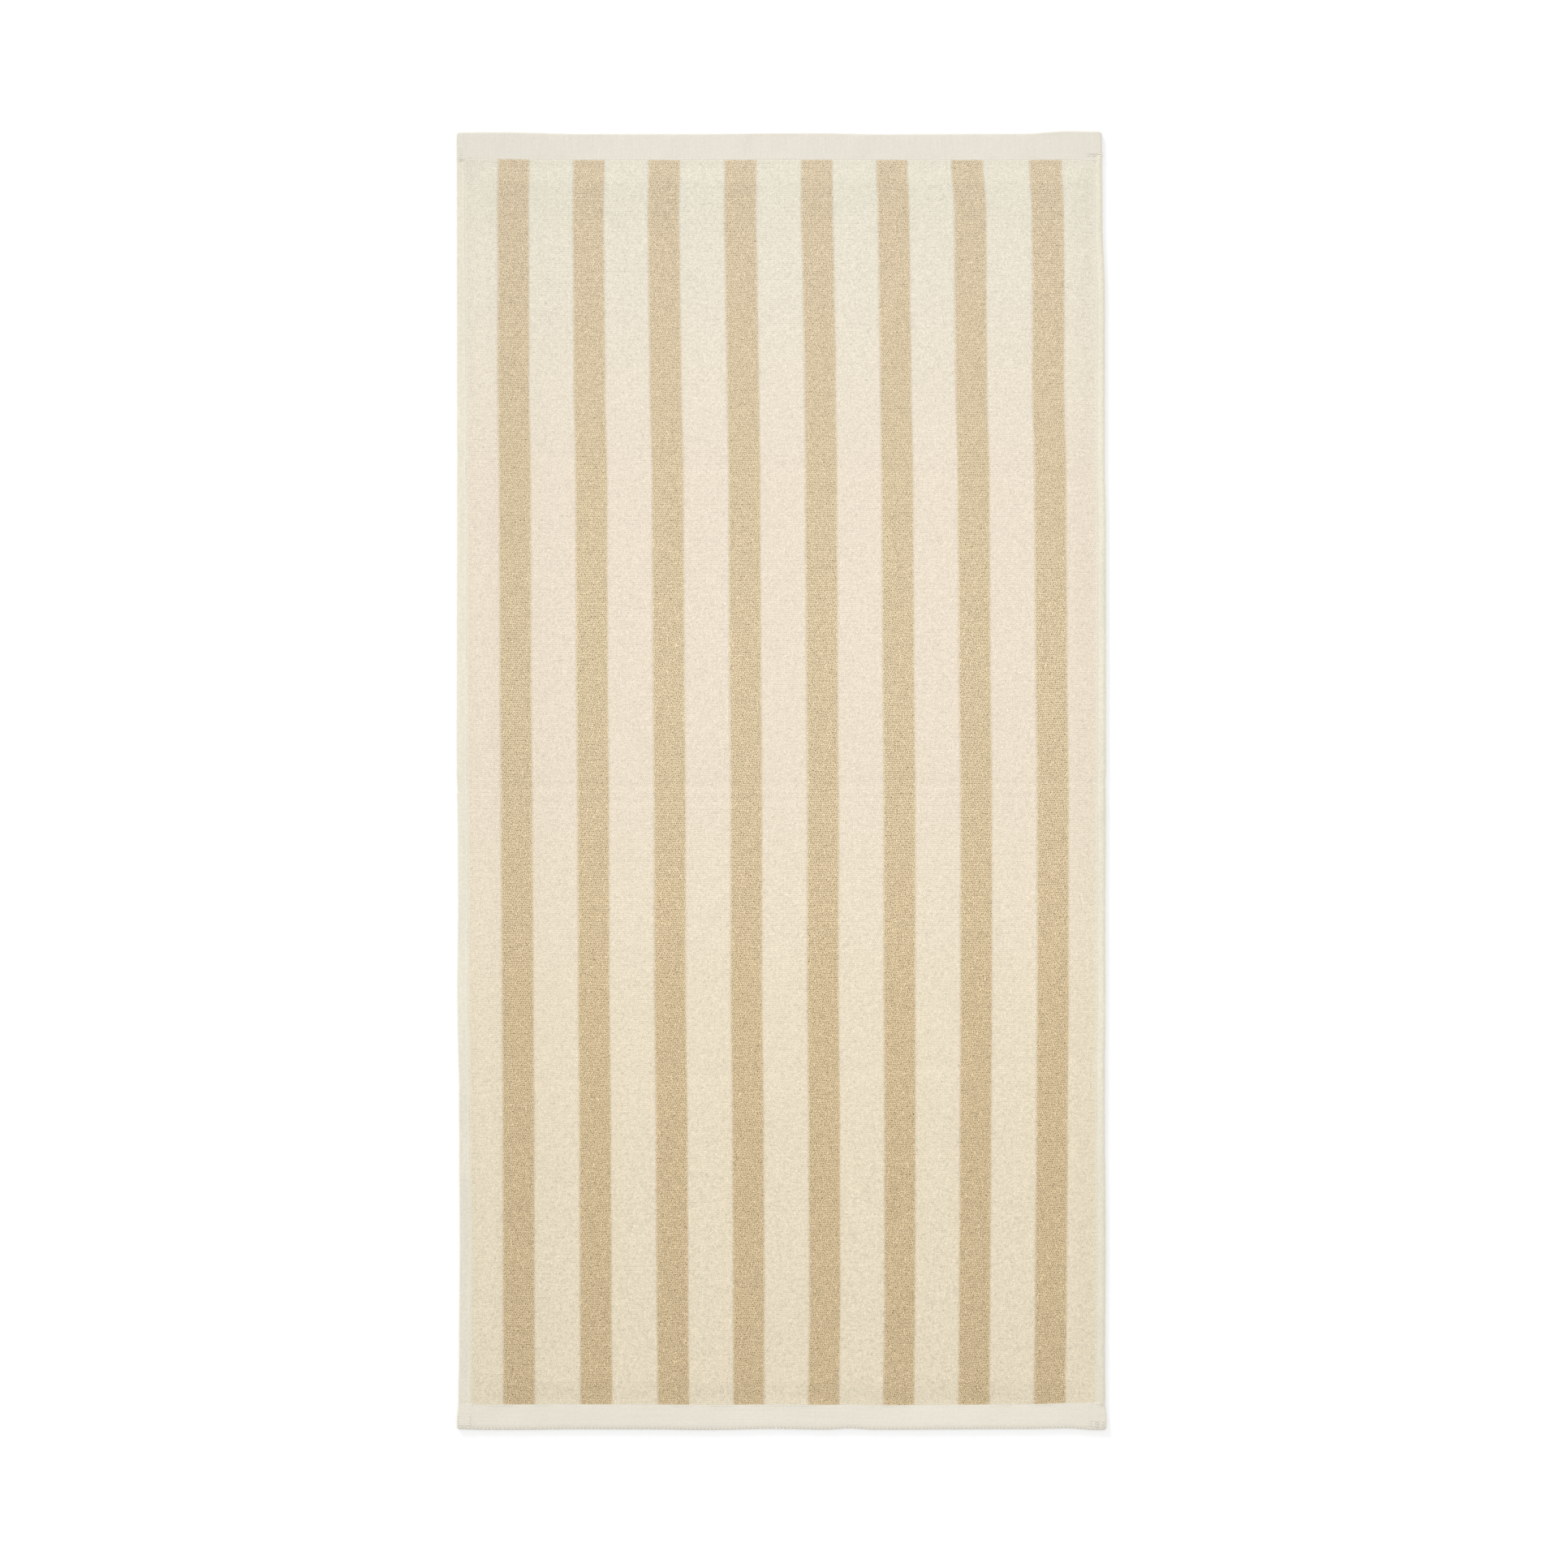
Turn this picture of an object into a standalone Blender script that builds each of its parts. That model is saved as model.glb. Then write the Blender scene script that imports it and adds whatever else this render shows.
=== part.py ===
"""A striped terry hand towel that lies flat, as one closed solid.

Metres, +Z up. X runs across the towel and Y along it, with the top end at +Y.
The origin is on the underside, in the middle of the towel's box.
"""
from collections import namedtuple
from math import exp, hypot, sqrt

import bmesh
import bpy

MM = 0.001

# Driving dimensions
WIDTH = 500.7 * MM              # the box across the two long sides
LENGTH = 1001.0 * MM            # the box from end to end
PILE_HEIGHT = 4.2 * MM          # underside to the tops of the loops
END_HEM_HEIGHT = 2.2 * MM       # the flat-woven end, folded under and sewn
SIDE_HEM_HEIGHT = 2.4 * MM      # the long edge, folded under and sewn
CORNER_HEIGHT = 3.0 * MM        # where a side hem lies inside an end hem
FOLD_RADIUS = 1.3 * MM          # the rounding of a folded edge
FOLD_WIDEST = 0.4               # height of an edge's widest line, as a share of its thickness
FOLD_UNDERCUT = 0.5 * MM        # how far the underside stops short of the widest line
CORNER_RADIUS = 3.0 * MM        # the rounding of a corner, seen from above
SEAM_INSET = 0.9 * MM           # the seam's distance from the pile
SEAM_HALF_WIDTH = 0.7 * MM
SEAM_DIP = 0.3 * MM             # how far the seam pulls the hem down
SHOULDER = 2.4 * MM             # the pile rises from its foot to its full height over this
HEM_CREASE = 0.3                # a crease's depth in a hem, as a share of its depth in the pile
STRIPE_COUNT = 8
STRIPE_WIDTH = 24.2 * MM
STRIPE_PITCH = 58.98 * MM
FIRST_STRIPE = -204.5 * MM      # X of the first stripe's middle, half-way down
ROW_SPACING = 26.0 * MM         # longest step between two rows of points in the field

# The long sides, in millimetres down from the top of the box: how far each edge
# stands in from the box, and the width of each side hem
SideRow = namedtuple("SideRow", "from_top left_in right_in left_hem right_hem")
SIDES = (
    SideRow(0, 0.0, 3.7, 6.3, 5.8),
    SideRow(70, 0.2, 3.2, 6.5, 6.0),
    SideRow(125, 0.3, 1.3, 7.0, 6.2),
    SideRow(250, 0.4, 1.4, 7.6, 6.4),
    SideRow(300, 0.4, 0.6, 8.0, 6.6),
    SideRow(490, 0.1, 0.5, 8.4, 6.8),
    SideRow(545, 1.0, 0.7, 8.2, 6.8),
    SideRow(600, 1.2, 1.1, 8.2, 6.6),
    SideRow(660, 0.6, 0.9, 8.3, 6.6),
    SideRow(755, 2.0, 1.3, 8.4, 6.8),
    SideRow(860, 2.5, 0.7, 8.8, 6.8),
    SideRow(945, 2.0, 1.2, 9.0, 6.8),
    SideRow(980, 1.4, 1.1, 9.4, 7.0),
    SideRow(993, 0.3, 0.0, 9.8, 7.4),
    SideRow(1001, 0.1, 0.3, 9.8, 7.4),
)

# The two ends, in millimetres from the left of the box: how far each end
# stands in from the box, and the depth of each end hem
EndColumn = namedtuple("EndColumn", "from_left top_in bottom_in top_hem bottom_hem")
ENDS = (
    EndColumn(0, 1.0, 0.8, 19.6, 20.0),
    EndColumn(22, 0.8, 0.2, 19.9, 20.3),
    EndColumn(41, 0.9, 0.2, 20.1, 20.4),
    EndColumn(97, 2.2, 0.7, 19.4, 20.0),
    EndColumn(150, 2.2, 0.6, 19.4, 20.0),
    EndColumn(190, 2.2, 0.1, 19.4, 20.2),
    EndColumn(245, 1.6, 1.0, 19.8, 19.6),
    EndColumn(285, 1.6, 0.4, 19.8, 19.9),
    EndColumn(303, 2.0, 1.3, 19.5, 19.3),
    EndColumn(322, 2.4, 0.3, 19.2, 19.8),
    EndColumn(435, 2.0, 0.8, 19.6, 19.8),
    EndColumn(472, 0.0, 1.4, 21.4, 20.2),
    EndColumn(491, 0.3, 0.1, 22.0, 21.8),
    EndColumn(501, 0.6, 0.0, 22.0, 21.8),
)

# The stripes' lean, in millimetres to the right of where they lie half-way down.
# The columns are stripes counted from the left, and the rows run down the towel.
LEANING = (1, 3, 5, 7, 8)
LeanRow = namedtuple("LeanRow", "from_top stripe_1 stripe_3 stripe_5 stripe_7 stripe_8")
LEANS = (
    LeanRow(27, -2.2, -4.5, -4.7, -7.3, -5.3),
    LeanRow(62, -2.6, -5.0, -4.6, -4.7, -3.9),
    LeanRow(118, -2.3, -4.4, -3.3, -4.7, -3.3),
    LeanRow(187, -2.5, -3.4, -2.1, -4.0, -3.5),
    LeanRow(274, -1.2, -1.5, -1.4, -2.1, -2.0),
    LeanRow(399, -0.8, -1.1, -0.8, -1.3, -1.2),
    LeanRow(524, 0.0, 0.0, 0.0, 0.0, 0.0),
    LeanRow(649, 0.8, 0.1, -0.2, 0.0, 0.0),
    LeanRow(774, 1.6, 1.5, 1.0, -0.6, -0.7),
    LeanRow(899, 1.7, 2.1, 1.5, -1.4, -1.6),
    LeanRow(971, 1.8, 2.9, 0.6, -1.9, -2.4),
)

# The soft creases left by folding, in millimetres: where each meets the left and the
# right side, its depth, its half-width, and how far it draws the two long edges in
Crease = namedtuple("Crease", "left_from_top right_from_top depth half_width nick")
CREASES = (
    Crease(250, 268, 0.5, 9.0, 0.2),
    Crease(506, 502, 0.7, 6.0, 0.5),
    Crease(519, 511, 0.5, 5.0, 0.3),
    Crease(734, 716, 0.6, 9.0, 0.3),
    Crease(778, 786, 0.3, 10.0, 0.2),
)

# Where the cloth stands a little high or low, in millimetres from the top left of the box
Swell = namedtuple("Swell", "from_left from_top reach_across reach_along rise")
SWELLS = (
    Swell(24, 74, 30, 22, -0.6),
    Swell(60, 120, 60, 40, 0.4),
    Swell(150, 60, 70, 45, 0.3),
    Swell(365, 218, 55, 30, -0.4),
    Swell(330, 150, 60, 50, 0.4),
    Swell(470, 130, 40, 60, 0.4),
    Swell(120, 370, 90, 70, 0.3),
    Swell(390, 400, 80, 60, 0.3),
    Swell(240, 610, 110, 50, 0.3),
    Swell(60, 650, 50, 60, -0.3),
    Swell(440, 620, 60, 50, 0.3),
    Swell(160, 850, 80, 60, 0.4),
    Swell(20, 950, 30, 22, -0.6),
    Swell(255, 924, 40, 30, -0.5),
    Swell(340, 860, 60, 60, 0.4),
    Swell(478, 952, 26, 26, -0.6),
)

# Colours are linear
Finish = namedtuple("Finish", "name colour roughness")
FINISHES = (
    Finish("cream_terry", (0.83, 0.75, 0.60, 1.0), 0.95),
    Finish("beige_terry", (0.66, 0.53, 0.34, 1.0), 0.95),
    Finish("hem_cloth", (0.80, 0.77, 0.68, 1.0), 0.85),
)
CREAM, BEIGE, HEM = range(len(FINISHES))

# A line of the grid: side is -1 or 1 beside an edge, where place counts the lines in from
# it, and 0 in the field, where place is a stripe number for a column and Y for a row
Line = namedtuple("Line", "side place")
RIM = -1                        # the underside's rim, under the edge's widest line
LINES_ON_FOLD = 4               # lines from the widest line to the corner's radius
LINES_PAST_FOOT = 2             # lines on the pile's shoulder, past its foot


def ease(share):
    """0 to 1 with a flat start and end."""
    share = min(max(share, 0.0), 1.0)
    return share * share * (3.0 - 2.0 * share)


def read_table(table, key, place, column):
    """A column's value at a place in millimetres, eased between the rows."""
    before = table[0]
    for row in table:
        if getattr(row, key) >= place:
            span = getattr(row, key) - getattr(before, key)
            share = (place - getattr(before, key)) / span if span else 0.0
            low, high = getattr(before, column), getattr(row, column)
            return low + (high - low) * ease(share)
        before = row
    return getattr(before, column)


def from_top(y):
    return (LENGTH / 2 - y) / MM


def from_left(x):
    return (WIDTH / 2 + x) / MM


def crease_place(crease, x):
    """How far down the towel a crease lies at this X, in millimetres."""
    share = min(max(x / WIDTH + 0.5, 0.0), 1.0)
    return crease.left_from_top + (crease.right_from_top - crease.left_from_top) * share


def crease_share(crease, x, y):
    """1 on the crease's line, falling to nothing beside it."""
    away = (from_top(y) - crease_place(crease, x)) / crease.half_width
    return exp(-2.0 * away * away)


def side_edge(y, side):
    """X of a long edge. side is -1 on the left and 1 on the right."""
    column = "left_in" if side < 0 else "right_in"
    inward = read_table(SIDES, "from_top", from_top(y), column)
    inward += sum(c.nick * crease_share(c, side * WIDTH / 2, y) for c in CREASES)
    return side * (WIDTH / 2 - inward * MM)


def end_edge(x, end):
    """Y of an end. end is -1 at the bottom and 1 at the top."""
    column = "bottom_in" if end < 0 else "top_in"
    return end * (LENGTH / 2 - read_table(ENDS, "from_left", from_left(x), column) * MM)


def side_hem(y, side):
    column = "left_hem" if side < 0 else "right_hem"
    return read_table(SIDES, "from_top", from_top(y), column) * MM


def end_hem(x, end):
    column = "bottom_hem" if end < 0 else "top_hem"
    return read_table(ENDS, "from_left", from_left(x), column) * MM


def stripe_lean(stripe, y):
    """How far a stripe, which may be a fraction between two, has moved to the right at this Y."""
    stripe = min(max(stripe, LEANING[0]), LEANING[-1])
    after = next(n for n in LEANING if n >= stripe)
    before = max([n for n in LEANING if n <= stripe])
    low = read_table(LEANS, "from_top", from_top(y), f"stripe_{before}")
    high = read_table(LEANS, "from_top", from_top(y), f"stripe_{after}")
    share = (stripe - before) / (after - before) if after > before else 0.0
    return (low + (high - low) * share) * MM


def field_column_x(stripe, y):
    """X of a column of points in the field, where 1 is the first stripe's middle."""
    return FIRST_STRIPE + (stripe - 1) * STRIPE_PITCH + stripe_lean(stripe, y)


def row_slant(y, x):
    """How far a row of points is moved along, so that rows follow the slanting creases."""
    knots = [(LENGTH / 2, 0.0)]
    for c in CREASES:
        middle = (c.left_from_top + c.right_from_top) / 2 * MM
        knots.append((LENGTH / 2 - middle, (c.left_from_top - c.right_from_top) * MM))
    knots.append((-LENGTH / 2, 0.0))
    for (high_y, high), (low_y, low) in zip(knots, knots[1:]):
        if low_y <= y <= high_y:
            share = ease((high_y - y) / (high_y - low_y))
            return (high + (low - high) * share) * x / WIDTH
    return 0.0


def side_insets(hem):
    """Distances from a long edge to the columns beside it, from the fold to the pile's crown."""
    fold = [0.0, 0.3 * FOLD_RADIUS, FOLD_RADIUS, CORNER_RADIUS]
    seam = [hem - SEAM_INSET - SEAM_HALF_WIDTH, hem - SEAM_INSET]
    return fold + seam + [hem, hem + 0.4 * SHOULDER, hem + SHOULDER]


def end_insets(hem):
    """The same from an end, with one more row half-way across its deeper hem."""
    insets = side_insets(hem)
    insets.insert(LINES_ON_FOLD, hem / 2)
    return insets


def dent(distance, half_width):
    """1 at no distance, 0 past the half-width."""
    return 1.0 - ease(abs(distance) / half_width)


def cloth_height(x, y, from_side, from_end, hem_across, hem_along):
    """Height of the upper face, from the distances to the nearest long edge and the nearest end."""
    beside = 1.0 - ease((from_side - hem_across) / SHOULDER)
    behind = 1.0 - ease((from_end - hem_along) / SHOULDER)
    field = (1.0 - beside) * (1.0 - behind)
    height = PILE_HEIGHT * field + CORNER_HEIGHT * beside * behind
    height += SIDE_HEM_HEIGHT * beside * (1.0 - behind)
    height += END_HEM_HEIGHT * behind * (1.0 - beside)
    side_seam = dent(from_side - (hem_across - SEAM_INSET), SEAM_HALF_WIDTH) * (1.0 - behind)
    end_seam = dent(from_end - (hem_along - SEAM_INSET), SEAM_HALF_WIDTH)
    height -= SEAM_DIP * max(side_seam, end_seam)
    for crease in CREASES:
        height -= crease.depth * MM * crease_share(crease, x, y) * (HEM_CREASE + (1.0 - HEM_CREASE) * field)
    for swell in SWELLS:
        across = (from_left(x) - swell.from_left) / swell.reach_across
        along = (from_top(y) - swell.from_top) / swell.reach_along
        height += swell.rise * MM * exp(-(across * across + along * along)) * field
    return height


def fold_share(distance):
    """Height beside a folded edge, as a share of the cloth's, at a distance in from its widest line."""
    if distance >= FOLD_RADIUS:
        return 1.0
    short = 1.0 - max(distance, 0.0) / FOLD_RADIUS
    return FOLD_WIDEST + (1.0 - FOLD_WIDEST) * sqrt(1.0 - short * short)


def round_corner(from_side, from_end):
    """Moves a point near a corner, so that square rings of points turn into arcs."""
    short_side = CORNER_RADIUS - from_side
    short_end = CORNER_RADIUS - from_end
    if short_side <= 0.0 or short_end <= 0.0:
        return from_side, from_end
    shrink = max(short_side, short_end) / hypot(short_side, short_end)
    return CORNER_RADIUS - short_side * shrink, CORNER_RADIUS - short_end * shrink


def edge_lines(side, insets):
    """The lines beside an edge, from the underside's rim to the pile's crown."""
    return [Line(side, place) for place in range(RIM, len(insets))]


def column_lines():
    """The columns of the grid, left to right. The field's lie on the stripes' edges and between them."""
    half = STRIPE_WIDTH / STRIPE_PITCH / 2
    field = []
    for stripe in range(1, STRIPE_COUNT + 1):
        field += [Line(0, stripe - half), Line(0, stripe + half)]
        if stripe < STRIPE_COUNT:
            field.append(Line(0, stripe + 0.5))
    return edge_lines(-1, side_insets(0.0)) + field + edge_lines(1, side_insets(0.0))[::-1]


def field_rows():
    """Y of the rows in the field: close together at the creases and even between them."""
    crown = max(max(e.top_hem, e.bottom_hem) for e in ENDS) * MM + SHOULDER
    marks = [LENGTH / 2 - crown, crown - LENGTH / 2]
    for c in CREASES:
        middle = LENGTH / 2 - (c.left_from_top + c.right_from_top) / 2 * MM
        marks += [middle + step * c.half_width * MM for step in (1.0, 0.5, 0.0, -0.5, -1.0)]
    marks.sort(reverse=True)
    rows = []
    for high, low in zip(marks, marks[1:]):
        steps = max(1, round((high - low) / ROW_SPACING))
        rows += [high + (low - high) * step / steps for step in range(steps)]
    return rows[1:]


def row_lines():
    """The rows of the grid, top to bottom."""
    field = [Line(0, y) for y in field_rows()]
    return edge_lines(1, end_insets(0.0)) + field + edge_lines(-1, end_insets(0.0))[::-1]


def plan_point(column, row):
    """X and Y of the grid's point on a column and a row, before its corner is rounded."""
    x = column.side * WIDTH / 2 if column.side else field_column_x(column.place, 0.0)
    y = row.side * LENGTH / 2 if row.side else row.place + row_slant(row.place, x)
    # The sides bend with Y and the ends with X, so two passes settle both
    for _ in range(2):
        if row.side:
            inset = end_insets(end_hem(x, row.side))[max(row.place, 0)]
            y = end_edge(x, row.side) - row.side * inset
        if column.side:
            inset = side_insets(side_hem(y, column.side))[max(column.place, 0)]
            x = side_edge(y, column.side) - column.side * inset
        else:
            x = field_column_x(column.place, y)
    return x, y


def cloth_point(column, row):
    """Where the grid's point goes: on the underside's rim, or on the upper face."""
    x, y = plan_point(column, row)
    side = column.side or (1 if x > 0 else -1)
    end = row.side or (1 if y > 0 else -1)
    from_side = side * (side_edge(y, side) - x)
    from_end = end * (end_edge(x, end) - y)
    rounded_side, rounded_end = round_corner(from_side, from_end)
    x += side * (from_side - rounded_side)
    y += end * (from_end - rounded_end)
    rim_across = column.side != 0 and column.place == RIM
    rim_along = row.side != 0 and row.place == RIM
    if rim_across or rim_along:
        undercut = FOLD_UNDERCUT * (sqrt(0.5) if rim_across and rim_along else 1.0)
        x -= side * undercut * rim_across
        y -= end * undercut * rim_along
        return x, y, 0.0
    height = cloth_height(x, y, from_side, from_end, side_hem(y, side), end_hem(x, end))
    return x, y, height * fold_share(min(from_side, from_end))


def face_finish(columns, rows):
    """The finish of a face, from the two columns and the two rows that it lies between."""
    foot_across = len(side_insets(0.0)) - 1 - LINES_PAST_FOOT
    foot_along = len(end_insets(0.0)) - 1 - LINES_PAST_FOOT
    in_side_hem = any(line.side and line.place < foot_across for line in columns)
    in_end_hem = any(line.side and line.place < foot_along for line in rows)
    if in_side_hem or in_end_hem:
        return HEM
    if any(line.side for line in columns):
        return CREAM
    middle = sum(line.place for line in columns) / 2
    half = STRIPE_WIDTH / STRIPE_PITCH / 2
    return BEIGE if abs(middle - round(middle)) < half else CREAM


def make_material(finish):
    material = bpy.data.materials.new(finish.name)
    material.use_nodes = True
    shader = material.node_tree.nodes["Principled BSDF"]
    shader.inputs["Base Color"].default_value = finish.colour
    shader.inputs["Roughness"].default_value = finish.roughness
    shader.inputs["Metallic"].default_value = 0.0
    material.diffuse_color = finish.colour
    return material


def towel_mesh():
    """A flat grid moved onto the cloth's upper face, with its rim closed by a flat underside."""
    columns = column_lines()
    rows = row_lines()
    last_column = len(columns) - 1
    last_row = len(rows) - 1
    sheet = bmesh.new()
    bmesh.ops.create_grid(sheet, x_segments=last_column, y_segments=last_row, size=1.0)
    number = {}
    for vert in sheet.verts:
        across = round((vert.co.x + 1.0) / 2.0 * last_column)
        along = round((1.0 - vert.co.y) / 2.0 * last_row)
        number[vert] = (across, along)
    for face in sheet.faces:
        left = min(number[vert][0] for vert in face.verts)
        top = min(number[vert][1] for vert in face.verts)
        face.material_index = face_finish(columns[left:left + 2], rows[top:top + 2])
    for vert, (across, along) in number.items():
        vert.co = cloth_point(columns[across], rows[along])
    rim = [edge for edge in sheet.edges if edge.is_boundary]
    underside = bmesh.ops.edgeloop_fill(sheet, edges=rim, mat_nr=CREAM)["faces"]
    bmesh.ops.triangulate(sheet, faces=underside, ngon_method="BEAUTY")
    bmesh.ops.recalc_face_normals(sheet, faces=sheet.faces)
    mesh = bpy.data.meshes.new("towel")
    sheet.to_mesh(mesh)
    sheet.free()
    mesh.shade_smooth()
    return mesh


def main():
    for thing in list(bpy.data.objects):
        bpy.data.objects.remove(thing, do_unlink=True)
    collection = bpy.data.collections.new("hand_towel")
    bpy.context.scene.collection.children.link(collection)
    towel = bpy.data.objects.new("towel", towel_mesh())
    for finish in FINISHES:
        towel.data.materials.append(make_material(finish))
    collection.objects.link(towel)


main()
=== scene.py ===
"""Looks of a striped terry hand towel that lies flat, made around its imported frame.

Metres, +Z up. X runs across the towel and Y along it, with the top end at +Y.
"""
from collections import namedtuple
from math import pi, sqrt

import bpy
import numpy as np
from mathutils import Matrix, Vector


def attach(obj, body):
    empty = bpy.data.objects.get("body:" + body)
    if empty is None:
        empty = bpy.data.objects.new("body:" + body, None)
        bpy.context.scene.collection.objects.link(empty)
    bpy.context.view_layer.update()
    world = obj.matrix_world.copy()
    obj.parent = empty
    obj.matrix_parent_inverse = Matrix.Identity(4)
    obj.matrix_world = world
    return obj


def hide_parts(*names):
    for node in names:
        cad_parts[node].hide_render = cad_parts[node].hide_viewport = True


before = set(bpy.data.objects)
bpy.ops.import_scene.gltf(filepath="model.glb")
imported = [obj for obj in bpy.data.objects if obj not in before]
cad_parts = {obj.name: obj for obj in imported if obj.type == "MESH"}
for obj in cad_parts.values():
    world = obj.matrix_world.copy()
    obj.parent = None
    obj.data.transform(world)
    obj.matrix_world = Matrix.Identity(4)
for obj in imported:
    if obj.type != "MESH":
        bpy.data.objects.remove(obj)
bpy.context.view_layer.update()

MM = 0.001


def table(columns, *rows):
    """Rows with named columns."""
    Row = namedtuple("Row", columns)
    return [Row(*row) for row in rows]


# Sizes of the cloth. Some heights and edges follow the photo more closely than the part's solid.
# Where a value is given for -1 and 1, these are the bottom and top end, or the left and right side.
WIDTH = 500.7 * MM
LENGTH = 1001.0 * MM
PILE_HEIGHT = 4.2 * MM
END_HEM_HEIGHT = 2.2 * MM
END_HEM_MORE = {-1: -0.5 * MM, 1: 0.8 * MM}     # added to the end hems' depths in the table
SIDE_HEM_HEIGHT = {-1: 2.4 * MM, 1: 2.7 * MM}
CORNER_HEIGHT = 2.5 * MM
FOLD_RADIUS = 1.3 * MM
FOLD_INSETS = (0.0, 0.1, 0.3, 0.6, 1.0)         # lines of points on a fold, as shares of its radius
FOLD_WIDEST = 0.4               # height of an edge's widest line, as a share of its thickness
CORNER_RADIUS = 2.2 * MM
SEAM_INSET = 0.9 * MM           # the seam's distance from the pile
SEAM_HALF_WIDTH = 0.7 * MM
SEAM_DIP = 0.03 * MM
BACK_DIP = 0.3 * MM             # the seam's dip on the underside
SEAM_HEIGHT = 2.25 * MM         # the hems come to this beside the pile
SEAM_RISE_REACH = 4.5 * MM
SHOULDER = 2.4 * MM             # a change of the cloth's thickness takes this long
TOP_ROUNDING = 1.3 * MM         # how far in from its edge each hem's upper face is rounded
BOTTOM_ROUNDING = 4.5 * MM
LEFT_ROUNDING = 1.3 * MM
RIGHT_ROUNDING = 2.4 * MM
HEM_CREASE = 0.3                # a crease's depth in a hem, as a share of its depth in the pile
STRIPE_COUNT = 8
STRIPE_WIDTH = 24.2 * MM
STRIPE_PITCH = 58.98 * MM
FIRST_STRIPE = -204.0 * MM      # X of the first stripe's middle, half-way down

# The long sides, in millimetres down from the top: how far each edge stands in
# from the box, and the width of each side hem
SIDES = table(
    "from_top left_in right_in left_hem right_hem",
    (0, 0.0, 3.7, 6.3, 5.8),
    (70, 0.2, 3.2, 6.5, 6.0),
    (125, 0.3, 1.3, 7.0, 6.2),
    (250, 0.4, 1.4, 7.6, 6.4),
    (300, 0.4, 0.6, 8.0, 6.6),
    (490, 0.1, 0.5, 8.4, 6.8),
    (545, 1.0, 0.7, 8.2, 6.8),
    (600, 1.2, 1.1, 8.2, 6.6),
    (660, 0.6, 0.9, 8.3, 6.6),
    (755, 2.0, 1.3, 8.4, 6.8),
    (860, 2.5, 0.7, 8.8, 6.8),
    (945, 2.0, 1.2, 9.0, 6.8),
    (980, 1.4, 1.1, 9.4, 7.0),
    (993, 0.3, 0.0, 9.8, 7.4),
    (1001, 0.1, 0.3, 9.8, 7.4),
)

# The two ends, in millimetres from the left: how far each end stands in from the
# box, and the depth of each end hem
ENDS = table(
    "from_left top_in bottom_in top_hem bottom_hem",
    (0, 1.0, 0.8, 19.6, 20.0),
    (22, 0.8, 0.2, 19.9, 20.3),
    (41, 0.9, 0.2, 20.1, 20.4),
    (97, 2.2, 0.7, 19.4, 20.0),
    (150, 2.2, 0.6, 19.4, 20.0),
    (190, 2.2, 0.1, 19.4, 20.2),
    (245, 1.6, 1.0, 19.8, 19.6),
    (285, 1.6, 0.4, 19.8, 19.9),
    (303, 2.0, 1.3, 19.5, 19.3),
    (322, 2.4, 0.3, 19.2, 19.8),
    (435, 2.0, 0.8, 19.6, 19.8),
    (472, 0.0, 1.4, 21.4, 20.2),
    (491, 0.3, 0.1, 22.0, 21.8),
    (501, 0.6, 0.0, 22.0, 21.8),
)

# The stripes' lean, in millimetres to the right of where they lie half-way down
LEANING = (1, 3, 5, 7, 8)
LEANS = table(
    "from_top stripe_1 stripe_3 stripe_5 stripe_7 stripe_8",
    (27, -2.2, -4.5, -4.7, -7.3, -5.3),
    (62, -2.6, -5.0, -4.6, -4.7, -3.9),
    (118, -2.3, -4.4, -3.3, -4.7, -3.3),
    (187, -2.5, -3.4, -2.1, -4.0, -3.5),
    (274, -1.2, -1.5, -1.4, -2.1, -2.0),
    (399, -0.8, -1.1, -0.8, -1.3, -1.2),
    (524, 0.0, 0.0, 0.0, 0.0, 0.0),
    (649, 0.8, 0.1, -0.2, 0.0, 0.0),
    (774, 1.6, 1.5, 1.0, -0.6, -0.7),
    (899, 1.7, 2.1, 1.5, -1.4, -1.6),
    (971, 1.8, 2.9, 0.6, -1.9, -2.4),
)

# The soft creases left by folding, in millimetres
CREASES = table(
    "left_from_top right_from_top depth half_width nick",
    (250, 268, 0.2, 9.0, 0.2),
    (506, 502, 0.28, 6.0, 0.5),
    (519, 511, 0.2, 5.0, 0.3),
    (734, 716, 0.3, 9.0, 0.3),
    (778, 786, 0.15, 10.0, 0.2),
)

# Where the cloth stands a little high or low, in millimetres from the top left
SWELLS = table(
    "from_left from_top reach_across reach_along rise",
    (24, 74, 30, 22, -0.6),
    (60, 120, 60, 40, 0.4),
    (150, 60, 70, 45, 0.3),
    (365, 218, 55, 30, -0.4),
    (330, 150, 60, 50, 0.4),
    (470, 130, 40, 60, 0.4),
    (120, 370, 90, 70, 0.3),
    (390, 400, 80, 60, 0.3),
    (240, 610, 110, 50, 0.3),
    (60, 650, 50, 60, -0.3),
    (440, 620, 60, 50, 0.3),
    (160, 850, 80, 60, 0.4),
    (20, 950, 30, 22, -0.6),
    (255, 924, 40, 30, -0.5),
    (340, 860, 60, 60, 0.4),
    (478, 952, 26, 26, -0.6),
)

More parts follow.
